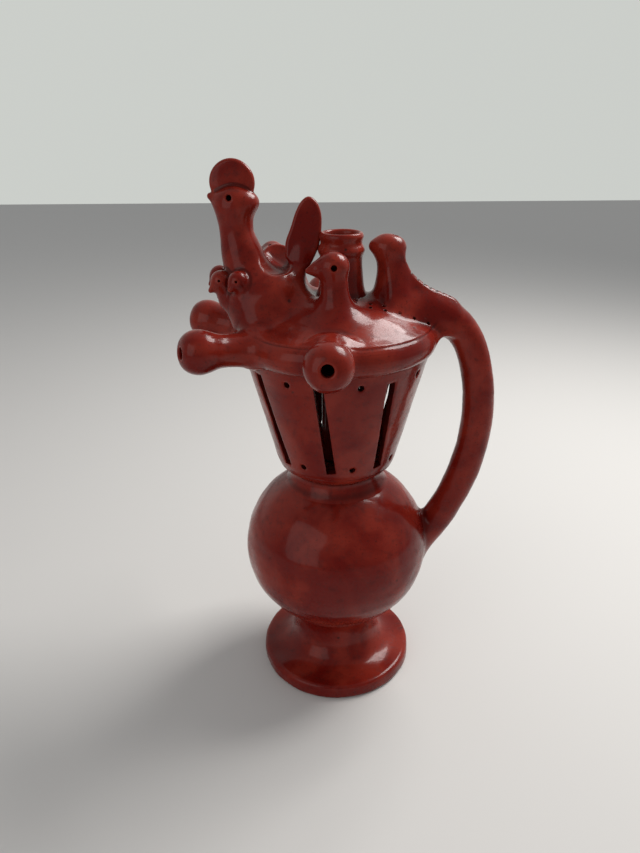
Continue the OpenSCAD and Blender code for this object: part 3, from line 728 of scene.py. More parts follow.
def turned_faces(rings, segments, closed):
    """Quads between rings of a turned form; a closed profile joins its last ring to its first."""
    last = rings if closed else rings - 1
    k, j = np.meshgrid(np.arange(last), np.arange(segments), indexing="ij")
    k, j = k.ravel(), j.ravel()
    up, on = (k + 1) % rings, (j + 1) % segments
    corners = [k * segments + j, k * segments + on, up * segments + on, up * segments + j]
    return np.stack(corners, axis=1).tolist()


def turned_piece(node, profile, segments=240, closed=True, centre_x=0.0, waver=0.8):
    """A wheel-thrown piece from its profile, which runs anticlockwise about the solid."""
    profile = np.asarray(profile, float)
    t = np.arange(segments) * 2 * math.pi / segments
    x = profile[:, 0][:, None] * np.cos(t) + centre_x
    y = profile[:, 0][:, None] * np.sin(t)
    z = np.repeat(profile[:, 1][:, None], segments, axis=1)
    rings = len(profile)
    points = np.stack([x, y, z], axis=2).reshape(-1, 3)
    faces = turned_faces(rings, segments, closed)
    if not closed:
        first, last = len(points), len(points) + 1
        points = np.vstack([points, [[centre_x, 0, profile[0][1]]], [[centre_x, 0, profile[-1][1]]]])
        for j in range(segments):
            on = (j + 1) % segments
            faces.append((first, on, j))
            faces.append((last, (rings - 1) * segments + j, (rings - 1) * segments + on))
    piece = new_piece("visual_" + node, points, faces, glaze_material(), joint=thrown_joint(points),
                      edge=np.zeros(len(points)))
    mesh = piece.data
    shift = hand_waver(points.astype(np.float32))[:, None] * waver
    write_points(mesh, points - read_each(mesh.vertex_normals, "vector") * shift)
    return piece


# Shader groups that more than one material uses
def group_socket(group, name, side, kind):
    return group.interface.new_socket(name=name, in_out=side, socket_type=kind)


def node_at(tree, kind, **settings):
    made = tree.nodes.new(kind)
    for key, value in settings.items():
        setattr(made, key, value)
    return made


def fill(tree, node, inputs):
    """Links a node's inputs to other nodes' outputs, or sets their values."""
    for key, value in inputs.items():
        if isinstance(value, bpy.types.NodeSocket):
            tree.links.new(value, node.inputs[key])
        else:
            node.inputs[key].default_value = value


def glaze_group():
    """Glaze that breaks lighter on raised clay and grows darker in the joints and hollows, partly as pooled
    glaze and partly as painted shade, with pits and ripples.
    """
    group = bpy.data.node_groups.new("Poured glaze", "ShaderNodeTree")
    for name in ("Deep", "Broken", "Pooled and shaded"):
        group_socket(group, name, "INPUT", "NodeSocketColor")
    for name in ("Cloud size", "Pit share", "Ripple"):
        group_socket(group, name, "INPUT", "NodeSocketFloat")
    group_socket(group, "Color", "OUTPUT", "NodeSocketColor")
    group_socket(group, "Roughness", "OUTPUT", "NodeSocketFloat")
    group_socket(group, "Height", "OUTPUT", "NodeSocketFloat")
    n, link = group.nodes, group.links.new
    start = n.new("NodeGroupInput")
    end = n.new("NodeGroupOutput")
    place = n.new("ShaderNodeTexCoord")
    spot = place.outputs["Object"]

    def noise(scale, detail, rough=0.55, warp=0.0):
        made = n.new("ShaderNodeTexNoise")
        fill(group, made, {"Scale": scale, "Detail": detail, "Roughness": rough, "Distortion": warp,
                           "Vector": spot})
        return made

    def spread(source, low, high, to_low=0.0, to_high=1.0):
        made = node_at(group, "ShaderNodeMapRange", interpolation_type="SMOOTHSTEP")
        fill(group, made, {"From Min": low, "From Max": high, "To Min": to_low, "To Max": to_high,
                           "Value": source})
        return made.outputs["Result"]

    def mix(factor, a, b):
        made = node_at(group, "ShaderNodeMix", data_type="RGBA")
        fill(group, made, {0: factor, 6: a, 7: b})
        return made.outputs[2]

    def maths(kind, a, b):
        made = node_at(group, "ShaderNodeMath", operation=kind)
        fill(group, made, {0: a, 1: b})
        return made.outputs[0]

    cloud = noise(34, 3, 0.55, 0.6)
    link(start.outputs["Cloud size"], cloud.inputs["Scale"])
    colour = mix(spread(cloud.outputs["Fac"], 0.36, 0.66), start.outputs["Deep"], start.outputs["Broken"])
    fine = noise(260, 4, 0.6)
    colour = mix(spread(fine.outputs["Fac"], 0.50, 0.72, 0.0, 0.35), colour, start.outputs["Pooled and shaded"])
    speck = noise(900, 2, 0.5)
    colour = mix(spread(speck.outputs["Fac"], 0.60, 0.74, 0.0, 0.5), colour, start.outputs["Pooled and shaded"])
    edge = node_at(group, "ShaderNodeAttribute", attribute_name="edge")
    colour = mix(spread(edge.outputs["Fac"], 0.1, 1.0, 0.0, 0.55), colour, start.outputs["Broken"])
    # Painted shade: the joint mask darkens hollows and joints towards the pooled colour, partly pooled glaze
    # and partly painted shade
    joint = node_at(group, "ShaderNodeAttribute", attribute_name="joint")
    pooled_and_shade = spread(joint.outputs["Fac"], 0.1, 1.0, 0.0, 0.7)
    colour = mix(pooled_and_shade, colour, start.outputs["Pooled and shaded"])
    pits = n.new("ShaderNodeTexVoronoi")
    fill(group, pits, {"Scale": 95, "Randomness": 1.0, "Vector": spot})
    few = noise(60, 1)
    pit = maths("MULTIPLY", spread(pits.outputs["Distance"], 0.06, 0.11, 1.0, 0.0),
                spread(few.outputs["Fac"], 0.58, 0.62))
    pit = maths("MULTIPLY", pit, start.outputs["Pit share"])
    colour = mix(pit, colour, (0.02, 0.004, 0.003, 1))
    link(colour, end.inputs["Color"])
    dull = maths("ADD", spread(fine.outputs["Fac"], 0.4, 0.75, 0.20, 0.36), maths("MULTIPLY", pit, 0.4))
    link(dull, end.inputs["Roughness"])
    ripple = noise(150, 3, 0.5)
    swell = noise(48, 2, 0.5)
    height = maths("ADD", maths("MULTIPLY", ripple.outputs["Fac"], 0.10),
                   maths("MULTIPLY", swell.outputs["Fac"], 0.55))
    height = maths("MULTIPLY", height, start.outputs["Ripple"])
    height = maths("SUBTRACT", height, maths("MULTIPLY", pit, 0.5))
    link(height, end.inputs["Height"])
    return group


def glazed(name, look, ripple=1.0, pit_share=0.7, cloud=34.0, darker=1.0):
    """Glazed clay, with the poured glaze's colour, dullness and ripple."""
    material = bpy.data.materials.new(name)
    material.use_nodes = True
    tree = material.node_tree
    shader = tree.nodes["Principled BSDF"]
    glaze = tree.nodes.new("ShaderNodeGroup")
    glaze.node_tree = bpy.data.node_groups.get("Poured glaze") or glaze_group()
    # A darker factor below one makes a shaded copy of the glaze: painted shade for cuts and inner parts
    for socket, colour in (("Deep", look.deep), ("Broken", look.broken), ("Pooled and shaded", look.pooled_and_shade)):
        glaze.inputs[socket].default_value = (*[c * darker for c in colour], 1)
    fill(tree, glaze, {"Cloud size": cloud, "Pit share": pit_share, "Ripple": ripple})
    bump = tree.nodes.new("ShaderNodeBump")
    fill(tree, bump, {"Strength": look.ripple, "Distance": 0.0006, "Height": glaze.outputs["Height"]})
    fill(tree, shader, {"Base Color": glaze.outputs["Color"], "Roughness": glaze.outputs["Roughness"],
                        "Normal": bump.outputs["Normal"]})
    fill(tree, shader, {"Coat Weight": look.coat, "Coat Roughness": 0.07, "IOR": 1.5,
                        "Specular IOR Level": 0.12})
    material.diffuse_color = (*look.deep, 1)
    return material


def glaze_material(name="poured_oxblood", **settings):
    found = bpy.data.materials.get(name)
    return found or glazed(name, bpy.context.scene.jug_glaze, **settings)


def cut_painted_shade():
    """The glaze painted darker inside slots, holes and marks, as painted shade."""
    return glaze_material("slot_painted_shade", darker=0.35)


# Small geometry node trees for what repeats
class Nodes:
    """A geometry node tree that takes a piece and cuts repeated tools out of it; the cut faces take the cut
    material.
    """

    def __init__(self, name, **inputs):
        self.tree = bpy.data.node_groups.new(name, "GeometryNodeTree")
        group_socket(self.tree, "Geometry", "OUTPUT", "NodeSocketGeometry")
        self.sockets = {}
        for key, kind in {"Geometry": "Geometry", **inputs}.items():
            label = key.replace("_", " ")
            self.sockets[label] = group_socket(self.tree, label, "INPUT", "NodeSocket" + kind)
        self.start = self.tree.nodes.new("NodeGroupInput")
        self.end = self.tree.nodes.new("NodeGroupOutput")

    def read(self, name):
        return self.start.outputs[name]

    def add(self, kind, inputs=None, **settings):
        made = node_at(self.tree, kind, **settings)
        fill(self.tree, made, inputs or {})
        return made

    def cut_out(self, tools):
        """Cuts the tools out of the piece; the cut faces take the cut material, which paints shade into them.
        """
        painted = self.add("GeometryNodeSetMaterial", {"Geometry": tools,
                                                       "Material": self.read("Cut material")})
        real = self.add("GeometryNodeRealizeInstances", {"Geometry": painted.outputs["Geometry"]})
        cut = self.add("GeometryNodeMeshBoolean", operation="DIFFERENCE", solver="EXACT")
        self.tree.links.new(self.read("Geometry"), cut.inputs[0])
        self.tree.links.new(real.outputs[0], cut.inputs[1])
        self.tree.links.new(cut.outputs[0], self.end.inputs["Geometry"])

    def apply(self, piece, values):
        """Runs the tree on the piece with these values and keeps the plain mesh."""
        modifier = piece.modifiers.new("Repeats", "NODES")
        modifier.node_group = self.tree
        for name, value in values.items():
            modifier[self.sockets[name].identifier] = value
        bpy.context.view_layer.update()
        graph = bpy.context.evaluated_depsgraph_get()
        made = bpy.data.meshes.new_from_object(piece.evaluated_get(graph), preserve_all_data_layers=True,
                                               depsgraph=graph)
        piece.modifiers.clear()
        plain = piece.data
        name = plain.name
        piece.data = made
        bpy.data.meshes.remove(plain)
        made.name = name
        return piece


def turned_about(nodes, tool, count, bearing):
    """Instances of a tool at even bearings about the jug's axis."""
    points = nodes.add("GeometryNodePoints", {"Count": count})
    index = nodes.add("GeometryNodeInputIndex")
    step = nodes.add("ShaderNodeMath", {0: 2 * math.pi, 1: count}, operation="DIVIDE")
    turn = nodes.add("ShaderNodeMath", {0: index.outputs[0], 1: step.outputs[0]}, operation="MULTIPLY")
    total = nodes.add("ShaderNodeMath", {0: turn.outputs[0], 1: bearing}, operation="ADD")
    angles = nodes.add("ShaderNodeCombineXYZ", {"Z": total.outputs[0]})
    return nodes.add("GeometryNodeInstanceOnPoints", {"Points": points.outputs[0], "Instance": tool,
                                                      "Rotation": angles.outputs[0]}).outputs["Instances"]


COLLAR_LEAN = math.atan((COLLAR_TOP_R - COLLAR_BOTTOM_R) / (CHAMBER_Z - COLLAR_Z))
HOLE_HEIGHTS = (COLLAR_Z + 6.6, CHAMBER_Z - 6.0)


def openwork_nodes():
    """Even slots round the collar, with a round hole near the top and the foot of each web."""
    nodes = Nodes("Openwork", Count="Int", Bearing="Float", Slot_width="Float", Slot_length="Float",
                  Slot_lean="Float", Hole_radius="Float", Cut_material="Material")
    middle_r = (COLLAR_TOP_R + COLLAR_BOTTOM_R - COLLAR_WALL) / 2 * MM
    middle_z = (COLLAR_Z + CHAMBER_Z) / 2 * MM
    size = nodes.add("ShaderNodeCombineXYZ", {"X": 0.014, "Y": nodes.read("Slot width"),
                                              "Z": nodes.read("Slot length")})
    blade = nodes.add("GeometryNodeMeshCube", {"Size": size.outputs[0]})
    turn = nodes.add("ShaderNodeCombineXYZ", {"X": nodes.read("Slot lean"), "Y": COLLAR_LEAN})
    blade = nodes.add("GeometryNodeTransform", {"Geometry": blade.outputs["Mesh"],
                                                "Translation": (middle_r, 0, middle_z),
                                                "Rotation": turn.outputs[0]})
    slots = turned_about(nodes, blade.outputs[0], nodes.read("Count"), nodes.read("Bearing"))
    drill = nodes.add("GeometryNodeMeshCylinder", {"Vertices": 20, "Radius": nodes.read("Hole radius"),
                                                   "Depth": 0.016})
    half_step = nodes.add("ShaderNodeMath", {0: math.pi, 1: nodes.read("Count")}, operation="DIVIDE")
    between = nodes.add("ShaderNodeMath", {0: nodes.read("Bearing"), 1: half_step.outputs[0]},
                        operation="ADD")
    tools = [slots]
    for height in HOLE_HEIGHTS:
        placed = nodes.add("GeometryNodeTransform", {"Geometry": drill.outputs["Mesh"],
                                                     "Translation": (collar_r(height) * MM, 0, height * MM),
                                                     "Rotation": (0, math.pi / 2, 0)})
        tools.append(turned_about(nodes, placed.outputs[0], nodes.read("Count"), between.outputs[0]))
    joined = nodes.add("GeometryNodeJoinGeometry")
    for tool in tools:
        nodes.tree.links.new(tool, joined.inputs[0])
    nodes.cut_out(joined.outputs[0])
    return nodes


def marks_nodes(name, across):
    """Even marks along a line, dropped onto the piece's own surface and cut into it."""
    nodes = Nodes(name, Count="Int", From="Vector", To="Vector", Radius="Float", Length="Float",
                  Lift="Float", Direction="Vector", Cut_material="Material")
    line = nodes.add("GeometryNodeMeshLine", {"Count": nodes.read("Count"), "Offset": nodes.read("To"),
                                              "Start Location": nodes.read("From")}, mode="END_POINTS")
    ray = nodes.add("GeometryNodeRaycast", {"Target Geometry": nodes.read("Geometry"),
                                            "Ray Direction": nodes.read("Direction")})
    lift = nodes.add("ShaderNodeCombineXYZ", {"Z": nodes.read("Lift")})
    spot = nodes.add("ShaderNodeVectorMath", {0: ray.outputs["Hit Position"], 1: lift.outputs[0]},
                     operation="ADD")
    dropped = nodes.add("GeometryNodeSetPosition", {"Geometry": line.outputs["Mesh"],
                                                    "Selection": ray.outputs["Is Hit"],
                                                    "Position": spot.outputs["Vector"]})
    tool = nodes.add("GeometryNodeMeshCylinder", {"Vertices": 14, "Radius": nodes.read("Radius"),
                                                  "Depth": nodes.read("Length")})
    turned = nodes.add("GeometryNodeTransform", {"Geometry": tool.outputs["Mesh"],
                                                 "Rotation": (math.pi / 2 if across else 0, 0, 0)})
    facing = nodes.add("FunctionNodeAlignRotationToVector", {"Vector": nodes.read("Direction")}, axis="Z")
    marks = nodes.add("GeometryNodeInstanceOnPoints", {"Points": dropped.outputs[0],
                                                       "Instance": turned.outputs[0],
                                                       "Rotation": facing.outputs[0]})
    nodes.cut_out(marks.outputs["Instances"])
    return nodes


def cut_marks(piece, nodes, row, radius, length, lift=0.0):
    """Cuts a row of marks into the piece."""
    start, end, count, direction = row
    nodes.apply(piece, {"Count": count, "From": [v * MM for v in start], "To": [v * MM for v in end],
                        "Direction": direction, "Radius": radius * MM, "Length": length * MM,
                        "Lift": lift * MM, "Cut material": cut_painted_shade()})


def shade_by_field(piece):
    """Shades a cut piece by the field's slope again, apart from the walls of its cuts."""
    mesh = piece.data
    points = read_each(mesh.vertices, "co").astype(float) / MM
    mesh.polygons.foreach_set("use_smooth", [True] * len(mesh.polygons))
    set_normals(mesh, slope(smeared, points))


SLOT_COUNT = 8
SLOT_BEARING = math.radians(-98)
SLOT_LEAN = math.radians(4.5)
SLOT_W = 4.8
SLOT_MARGIN = 5.2
SLOT_L = (CHAMBER_Z - COLLAR_Z - 2 * SLOT_MARGIN) / math.cos(COLLAR_LEAN)
HOLE_R = 1.6
EDGE_ROUND = 0.9


def slot_gap(points, slot_w, hole_r):
    """How far each point of the collar's face lies from the nearest slot or round hole."""
    bearing = np.arctan2(points[:, 1], points[:, 0]) - SLOT_BEARING
    step = 2 * math.pi / SLOT_COUNT
    off = (bearing + step / 2) % step - step / 2
    across = np.hypot(points[:, 0], points[:, 1])
    rise = (points[:, 2] - (COLLAR_Z + CHAMBER_Z) / 2) / math.cos(COLLAR_LEAN)
    side = off * across + rise * math.sin(SLOT_LEAN)
    a = np.abs(side) - slot_w / 2
    b = np.abs(rise) - SLOT_L / 2
    best = np.hypot(np.maximum(a, 0), np.maximum(b, 0)) + np.minimum(np.maximum(a, b), 0)
    hole_off = bearing % step - step / 2
    for height in HOLE_HEIGHTS:
        best = np.minimum(best, np.hypot(hole_off * across, points[:, 2] - height) - hole_r)
    return best


def ease_edges(mesh, sizes):
    """Sinks the collar's faces a little towards each slot and hole, as a sponge leaves them."""
    points = read_each(mesh.vertices, "co") / MM
    near = np.clip(1 - slot_gap(points, sizes.slot_width / MM, sizes.hole_radius / MM) / EDGE_ROUND, 0, 1)
    sink = EDGE_ROUND * 0.7 * (1 - np.sqrt(np.maximum(1 - near * near, 0)))
    mesh.attributes["edge"].data.foreach_set("value", (near * 0.6).astype(np.float32))
    across = np.hypot(points[:, 0], points[:, 1])
    sink = np.where(across > collar_r(points[:, 2]) - COLLAR_WALL / 2, sink, -sink)
    points[:, :2] *= (1 - sink / across)[:, None]
    write_points(mesh, points)


def make_collar(sizes):
    z = np.linspace(COLLAR_Z + 0.02, CHAMBER_Z - 0.2, 96)
    turned_in = 0.5 * np.clip(1 - (z - COLLAR_Z) / 4.5, 0, 1) ** 2
    profile = np.stack([collar_r(z) - turned_in, z], axis=1).tolist()
    profile += [[COLLAR_TOP_R - 0.3, CHAMBER_Z], [COLLAR_TOP_R - COLLAR_WALL, CHAMBER_Z]]
    z = np.linspace(CHAMBER_Z - 2, COLLAR_Z + 2, 30)
    profile += np.stack([collar_r(z) - COLLAR_WALL, z], axis=1).tolist()
    profile += [[COLLAR_BOTTOM_R - COLLAR_WALL, COLLAR_Z + 0.02]]
    piece = turned_piece("openwork_collar", profile, segments=480)
    ease_edges(piece.data, sizes)
    nodes = openwork_nodes()
    nodes.apply(piece, {"Count": SLOT_COUNT, "Bearing": SLOT_BEARING, "Slot width": sizes.slot_width,
                        "Slot length": SLOT_L * MM, "Slot lean": SLOT_LEAN,
                        "Hole radius": sizes.hole_radius, "Cut material": cut_painted_shade()})
    soften(piece, 40)
    return place_piece(piece, "openwork_collar")


def soften(piece, angle):
    """Smooth shading, apart from edges sharper than this angle in degrees."""
    mesh = piece.data
    mesh.polygons.foreach_set("use_smooth", [True] * len(mesh.polygons))
    mesh.set_sharp_from_angle(angle=math.radians(angle))


# Wheel-thrown profiles
def make_foot():
    edge = smooth_line([(41.6, 0.0), (43.9, 0.5), (44.7, 1.8), (44.8, 4.4), (44.65, 6.6), (44.0, 8.0),
                        (42.6, 8.75), (40.2, 8.95), (36.6, 9.2), (32.4, 10.3), (28.6, 12.6), (25.4, 16.2),
                        (23.3, 20.6), (22.5, 25.2), (22.4, 29.4), (23.0, 33.0), (24.4, 35.8), (26.6, 38.0),
                        (30.5, 40.2)], 5)
    profile = np.vstack([[[0.5, 1.0], [30, 1.0], [36.5, 0.9], [38.2, 0.1]], edge, [[28, 44], [0.5, 46]]])
    place_piece(turned_piece("foot", profile, segments=260, closed=False), "foot")


def make_neck():
    inner_r = 25 - WALL
    top = FLOOR_Z
    outer = smooth_line([(31.0, top - 12.3), (28.9, top - 10.3), (27.0, top - 8.1), (25.5, top - 5.6),
                         (24.7, top - 3.2), (24.8, top - 1.2), (25.6, top)], 5)
    profile = np.vstack([outer, [[inner_r, top], [inner_r, BELLY_TOP_Z - 1.4]]])
    place_piece(turned_piece("belly_neck", profile, segments=200), "belly_neck")


def make_collar_floor():
    top = FLOOR_Z
    lip = smooth_line([(25.6, top + 0.02), (27.6, top + 0.9), (29.4, top + 2.2), (30.7, top + 3.7),
                       (31.3, COLLAR_Z)], 5)
    across = np.linspace(31.3, FILLER_BORE_R + 3.2, 8)[1:]
    flat = np.stack([across, np.full(len(across), COLLAR_Z)], axis=1)
    profile = np.vstack([[[FILLER_BORE_R + 3.2, top + 0.02]], lip, flat])
    place_piece(turned_piece("collar_floor", profile), "collar_floor")


def make_filler():
    h = RIM_Z - SEAT_Z
    outer = smooth_line([(15.5, SEAT_Z - 2.2), (13.6, SEAT_Z - 0.6), (12.2, SEAT_Z + 1.2),
                         (11.3, SEAT_Z + 4.2), (10.8, SEAT_Z + 9), (10.3, SEAT_Z + 15),
                         (10.4, SEAT_Z + 18.2), (11.1, SEAT_Z + 20.2), (11.45, SEAT_Z + 21.6),
                         (11.0, SEAT_Z + 23.0), (10.25, SEAT_Z + 24.4), (10.2, SEAT_Z + 25.6),
                         (10.7, SEAT_Z + 27.2), (10.8, SEAT_Z + 28.4), (10.3, SEAT_Z + 29.6),
                         (9.3, SEAT_Z + h), (8.4, SEAT_Z + h - 0.5), (8.0, SEAT_Z + h - 1.6)], 5)
    bore = [[FILLER_BORE_R, SEAT_Z + h * k] for k in (0.8, 0.6, 0.4, 0.2, 0.0)]
    profile = np.vstack([outer, bore, [[FILLER_BORE_R, SEAT_Z - 2.2]]])
    piece = turned_piece("filler_neck", profile, segments=180, centre_x=FILLER_X, waver=0.7)
    place_piece(piece, "filler_neck")


# The user's values
class JugSizes(bpy.types.PropertyGroup):
    slot_width: bpy.props.FloatProperty(
        name="Slot width", description="Width of the upright slots", default=SLOT_W * MM,
        unit="LENGTH")
    hole_radius: bpy.props.FloatProperty(
        name="Hole radius", description="Radius of the round holes", default=HOLE_R * MM,
        unit="LENGTH")


class JugGlaze(bpy.types.PropertyGroup):
    deep: bpy.props.FloatVectorProperty(
        name="Deep", description="Colour of thick glaze", subtype="COLOR", size=3, min=0, max=1,
        default=(0.140, 0.0060, 0.0035))
    broken: bpy.props.FloatVectorProperty(
        name="Broken", description="Colour where the glaze runs thin", subtype="COLOR", size=3, min=0, max=1,
        default=(0.235, 0.0220, 0.0120))
    # The pooled colour serves both glaze that gathers and painted shade in joints and hollows
    pooled_and_shade: bpy.props.FloatVectorProperty(
        name="Pooled and shaded", description="Colour where the glaze gathers", subtype="COLOR", size=3, min=0, max=1,
        default=(0.040, 0.0020, 0.0016))
    coat: bpy.props.FloatProperty(
        name="Gloss", description="Strength of the glassy coat", default=0.16, min=0, max=1, subtype="FACTOR")
    ripple: bpy.props.FloatProperty(
        name="Ripple", description="Strength of the surface ripple", default=0.35, min=0, max=1,
        subtype="FACTOR")


class JUG_OT_foot(bpy.types.Operator):
    """Make the thrown foot"""
    bl_idname = "jug.foot"
    bl_label = "Foot"

    def execute(self, context):
        make_foot()
        return {"FINISHED"}


class JUG_OT_belly(bpy.types.Operator):
    """Make the round belly"""
    bl_idname = "jug.belly"
    bl_label = "Belly"

    def execute(self, context):
        return modelled_pieces("belly")


class JUG_OT_neck(bpy.types.Operator):
    """Make the belly's neck and the collar's floor"""
    bl_idname = "jug.neck"
    bl_label = "Neck and Collar Floor"

    def execute(self, context):
        make_neck()
        make_collar_floor()
        return {"FINISHED"}


class JUG_OT_collar(bpy.types.Operator):
    """Make the openwork collar with its slots and round holes"""
    bl_idname = "jug.collar"
    bl_label = "Openwork Collar"

    def execute(self, context):
        make_collar(context.scene.jug_sizes)
        return {"FINISHED"}


class JUG_OT_inner_parts(bpy.types.Operator):
    """Glaze the inner tube and the chamber's floor with a darker copy of the glaze, as painted shade inside
    the jug
    """
    bl_idname = "jug.inner_parts"
    bl_label = "Inner Tube and Floor"

    def execute(self, context):
        # Painted shade: the inner parts take the glaze at a little over half its brightness
        inner = glaze_material("inner_painted_shade", ripple=0.6, darker=0.55)
        for node in ("filler_tube", "chamber_floor"):
            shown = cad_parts[node]
            shown.data.materials.clear()
            shown.data.materials.append(inner)
        return {"FINISHED"}


class JUG_OT_dome(bpy.types.Operator):
    """Make the chamber's dome"""
    bl_idname = "jug.dome"
    bl_label = "Chamber Dome"

    def execute(self, context):
        dome = modelled_piece("chamber_dome")
        stab = marks_nodes("Dome marks", across=False)
        for row in STAB_ROWS:
            cut_marks(dome, stab, row, STAB_R, STAB_L)
        shade_by_field(dome)
        return {"FINISHED"}


class JUG_OT_filler(bpy.types.Operator):
    """Make the filler with its rings and rolled rim"""
    bl_idname = "jug.filler"
    bl_label = "Filler"

    def execute(self, context):
        make_filler()
        return {"FINISHED"}


class JUG_OT_nozzles(bpy.types.Operator):
    """Make the four bulb nozzles"""
    bl_idname = "jug.nozzles"
    bl_label = "Nozzles"

    def execute(self, context):
        return modelled_pieces(*NOZZLE_PLACES)


class JUG_OT_large_bird(bpy.types.Operator):
    """Make the large bird, its comb and its tail"""
    bl_idname = "jug.large_bird"
    bl_label = "Large Bird"

    def execute(self, context):
        return modelled_pieces("large_bird", "large_bird_comb", "large_bird_tail")


class JUG_OT_chicks(bpy.types.Operator):
    """Make the chicks round the large bird's breast"""
    bl_idname = "jug.chicks"
    bl_label = "Chicks"

    def execute(self, context):
        return modelled_pieces("chick_front", "chick_middle", "chick_rear")


class JUG_OT_small_birds(bpy.types.Operator):
    """Make the three small birds"""
    bl_idname = "jug.small_birds"
    bl_label = "Small Birds"

    def execute(self, context):
        return modelled_pieces("front_bird", "far_bird", "rear_bird")


class JUG_OT_handle(bpy.types.Operator):
    """Make the handle and the toothed crest that runs onto it"""
    bl_idname = "jug.handle"
    bl_label = "Handle and Crest"

    def execute(self, context):
        modelled_piece("handle")
        crest = modelled_piece("toothed_crest")
        stab = marks_nodes("Crest marks", across=False)
        for row in STAB_ROWS:
            cut_marks(crest, stab, row, STAB_R, STAB_L)
        notch = marks_nodes("Crest notches", across=True)
        cut_marks(crest, notch, NOTCH_ROW, NOTCH_R, NOTCH_L, lift=NOTCH_LIFT)
        shade_by_field(crest)
        return {"FINISHED"}


def camera_axes():
    """The camera's right, up and forward ways."""
    forward = Vector((math.sin(CAMERA_YAW) * math.cos(CAMERA_PITCH),
                      math.cos(CAMERA_YAW) * math.cos(CAMERA_PITCH), -math.sin(CAMERA_PITCH)))
    level = Vector((math.cos(CAMERA_YAW), -math.sin(CAMERA_YAW), 0))
    lift = level.cross(forward)
    right = level * math.cos(CAMERA_ROLL) + lift * math.sin(CAMERA_ROLL)
    up = lift * math.cos(CAMERA_ROLL) - level * math.sin(CAMERA_ROLL)
    return right, up, forward


def area_lamp(name, place, target, size, power, colour):
    lamp = bpy.data.lights.new(name, "AREA")
    lamp.shape = "RECTANGLE"
    lamp.size, lamp.size_y = size
    lamp.energy = power
    lamp.color = colour
    made = bpy.data.objects.new(name, lamp)
    made.location = place
    made.rotation_euler = (Vector(target) - Vector(place)).to_track_quat("-Z", "Y").to_euler()
    bpy.context.scene.collection.objects.link(made)
    return made


# How bright the room in front of the jug is against the pale wall, as the glaze mirrors it
DIM_ROOM = 0.3


def pale_world(strength, colour):
    world = bpy.data.worlds.new("Pale room")
    bpy.context.scene.world = world
    world.use_nodes = True
    tree = world.node_tree
    tree.nodes.clear()

    def add(kind, inputs=None, **settings):
        made = node_at(tree, kind, **settings)
        fill(tree, made, inputs or {})
        return made

    ray = add("ShaderNodeLightPath").outputs
    either = add("ShaderNodeMath", {0: ray["Is Camera Ray"], 1: ray["Is Glossy Ray"]}, operation="MAXIMUM")
    any_ray = add("ShaderNodeMath", {0: either.outputs[0], 1: ray["Is Transmission Ray"]},
                  operation="MAXIMUM")
    toward = add("ShaderNodeTexCoord")
    split = add("ShaderNodeSeparateXYZ", {0: toward.outputs["Generated"]})
    depth = add("ShaderNodeMapRange", {"From Min": -0.7, "From Max": 0.7, "To Min": DIM_ROOM,
                                       "To Max": 1.0, "Value": split.outputs["Y"]},
                interpolation_type="SMOOTHSTEP")
    plain = add("ShaderNodeMath", {0: depth.outputs["Result"], 1: ray["Is Camera Ray"]},
                operation="MAXIMUM")
    soft = add("ShaderNodeBackground", {"Color": (*colour, 1), "Strength": strength})
    seen = add("ShaderNodeBackground", {"Color": (0.60, 0.62, 0.59, 1), "Strength": plain.outputs[0]})
    mix = add("ShaderNodeMixShader", {0: any_ray.outputs[0], 1: soft.outputs[0], 2: seen.outputs[0]})
    add("ShaderNodeOutputWorld", {"Surface": mix.outputs[0]})


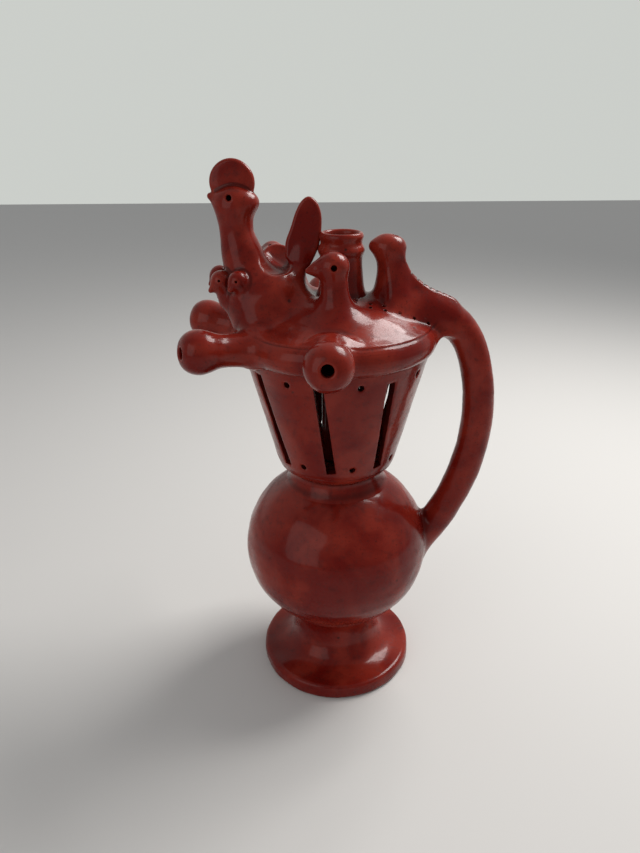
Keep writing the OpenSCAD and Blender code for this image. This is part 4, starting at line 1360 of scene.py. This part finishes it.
class JUG_OT_stage(bpy.types.Operator):
    """Set the floor, the lamps and the camera"""
    bl_idname = "jug.stage"
    bl_label = "Stage"

    def execute(self, context):
        scene = context.scene
        floor = bpy.data.meshes.new("floor")
        half = 3.0
        corners = [(-half, -half, 0), (half, -half, 0), (half, half, 0), (-half, half, 0)]
        floor.from_pydata(corners, [], [(0, 1, 2, 3)])
        made = bpy.data.objects.new("floor", floor)
        scene.collection.objects.link(made)
        paper = bpy.data.materials.new("pale_floor")
        paper.use_nodes = True
        shader = paper.node_tree.nodes["Principled BSDF"]
        shader.inputs["Base Color"].default_value = (0.66, 0.64, 0.61, 1)
        shader.inputs["Roughness"].default_value = 0.85
        floor.materials.append(paper)
        pale_world(0.38, (0.93, 0.96, 1.0))
        area_lamp("window", (0.45, 0.30, 0.78), (0, 0, 0.17), (0.45, 0.35), 7.5, (1.0, 0.99, 0.98))
        area_lamp("fill", (-0.7, -0.8, 0.55), (0, 0, 0.16), (0.9, 0.9), 2.6, (1.0, 0.97, 0.94))
        camera = bpy.data.objects.new("camera", bpy.data.cameras.new("camera"))
        right, up, forward = camera_axes()
        turn = Matrix((right, up, -forward)).transposed()
        camera.matrix_world = Matrix.Translation(CAMERA_PLACE) @ turn.to_4x4()
        camera.data.sensor_fit = "AUTO"
        camera.data.sensor_width = SENSOR_MM
        camera.data.lens = CAMERA_FOCAL_PX / IMAGE_HEIGHT_PX * SENSOR_MM
        camera.data.clip_start = 0.01
        scene.collection.objects.link(camera)
        scene.camera = camera
        scene.view_settings.view_transform = "Standard"
        return {"FINISHED"}


OPERATORS = [JUG_OT_foot, JUG_OT_belly, JUG_OT_neck, JUG_OT_collar, JUG_OT_inner_parts, JUG_OT_dome,
             JUG_OT_filler, JUG_OT_nozzles, JUG_OT_large_bird, JUG_OT_chicks, JUG_OT_small_birds,
             JUG_OT_handle, JUG_OT_stage]


class JUG_PT_panel(bpy.types.Panel):
    bl_label = "Puzzle Jug"
    bl_idname = "JUG_PT_panel"
    bl_space_type = "VIEW_3D"
    bl_region_type = "UI"
    bl_category = "Puzzle Jug"

    def draw(self, context):
        for values in (context.scene.jug_sizes, context.scene.jug_glaze):
            for name in values.__annotations__:
                self.layout.prop(values, name)
        for operator in OPERATORS:
            self.layout.operator(operator.bl_idname)


CLASSES = [JugSizes, JugGlaze, *OPERATORS, JUG_PT_panel]


def register():
    for each in CLASSES:
        bpy.utils.register_class(each)
    bpy.types.Scene.jug_sizes = bpy.props.PointerProperty(type=JugSizes)
    bpy.types.Scene.jug_glaze = bpy.props.PointerProperty(type=JugGlaze)


def unregister():
    del bpy.types.Scene.jug_glaze
    del bpy.types.Scene.jug_sizes
    for each in reversed(CLASSES):
        bpy.utils.unregister_class(each)


def main():
    register()
    for operator in OPERATORS:
        getattr(bpy.ops.jug, operator.bl_idname.split(".")[1])()


if __name__ == "__main__":
    main()
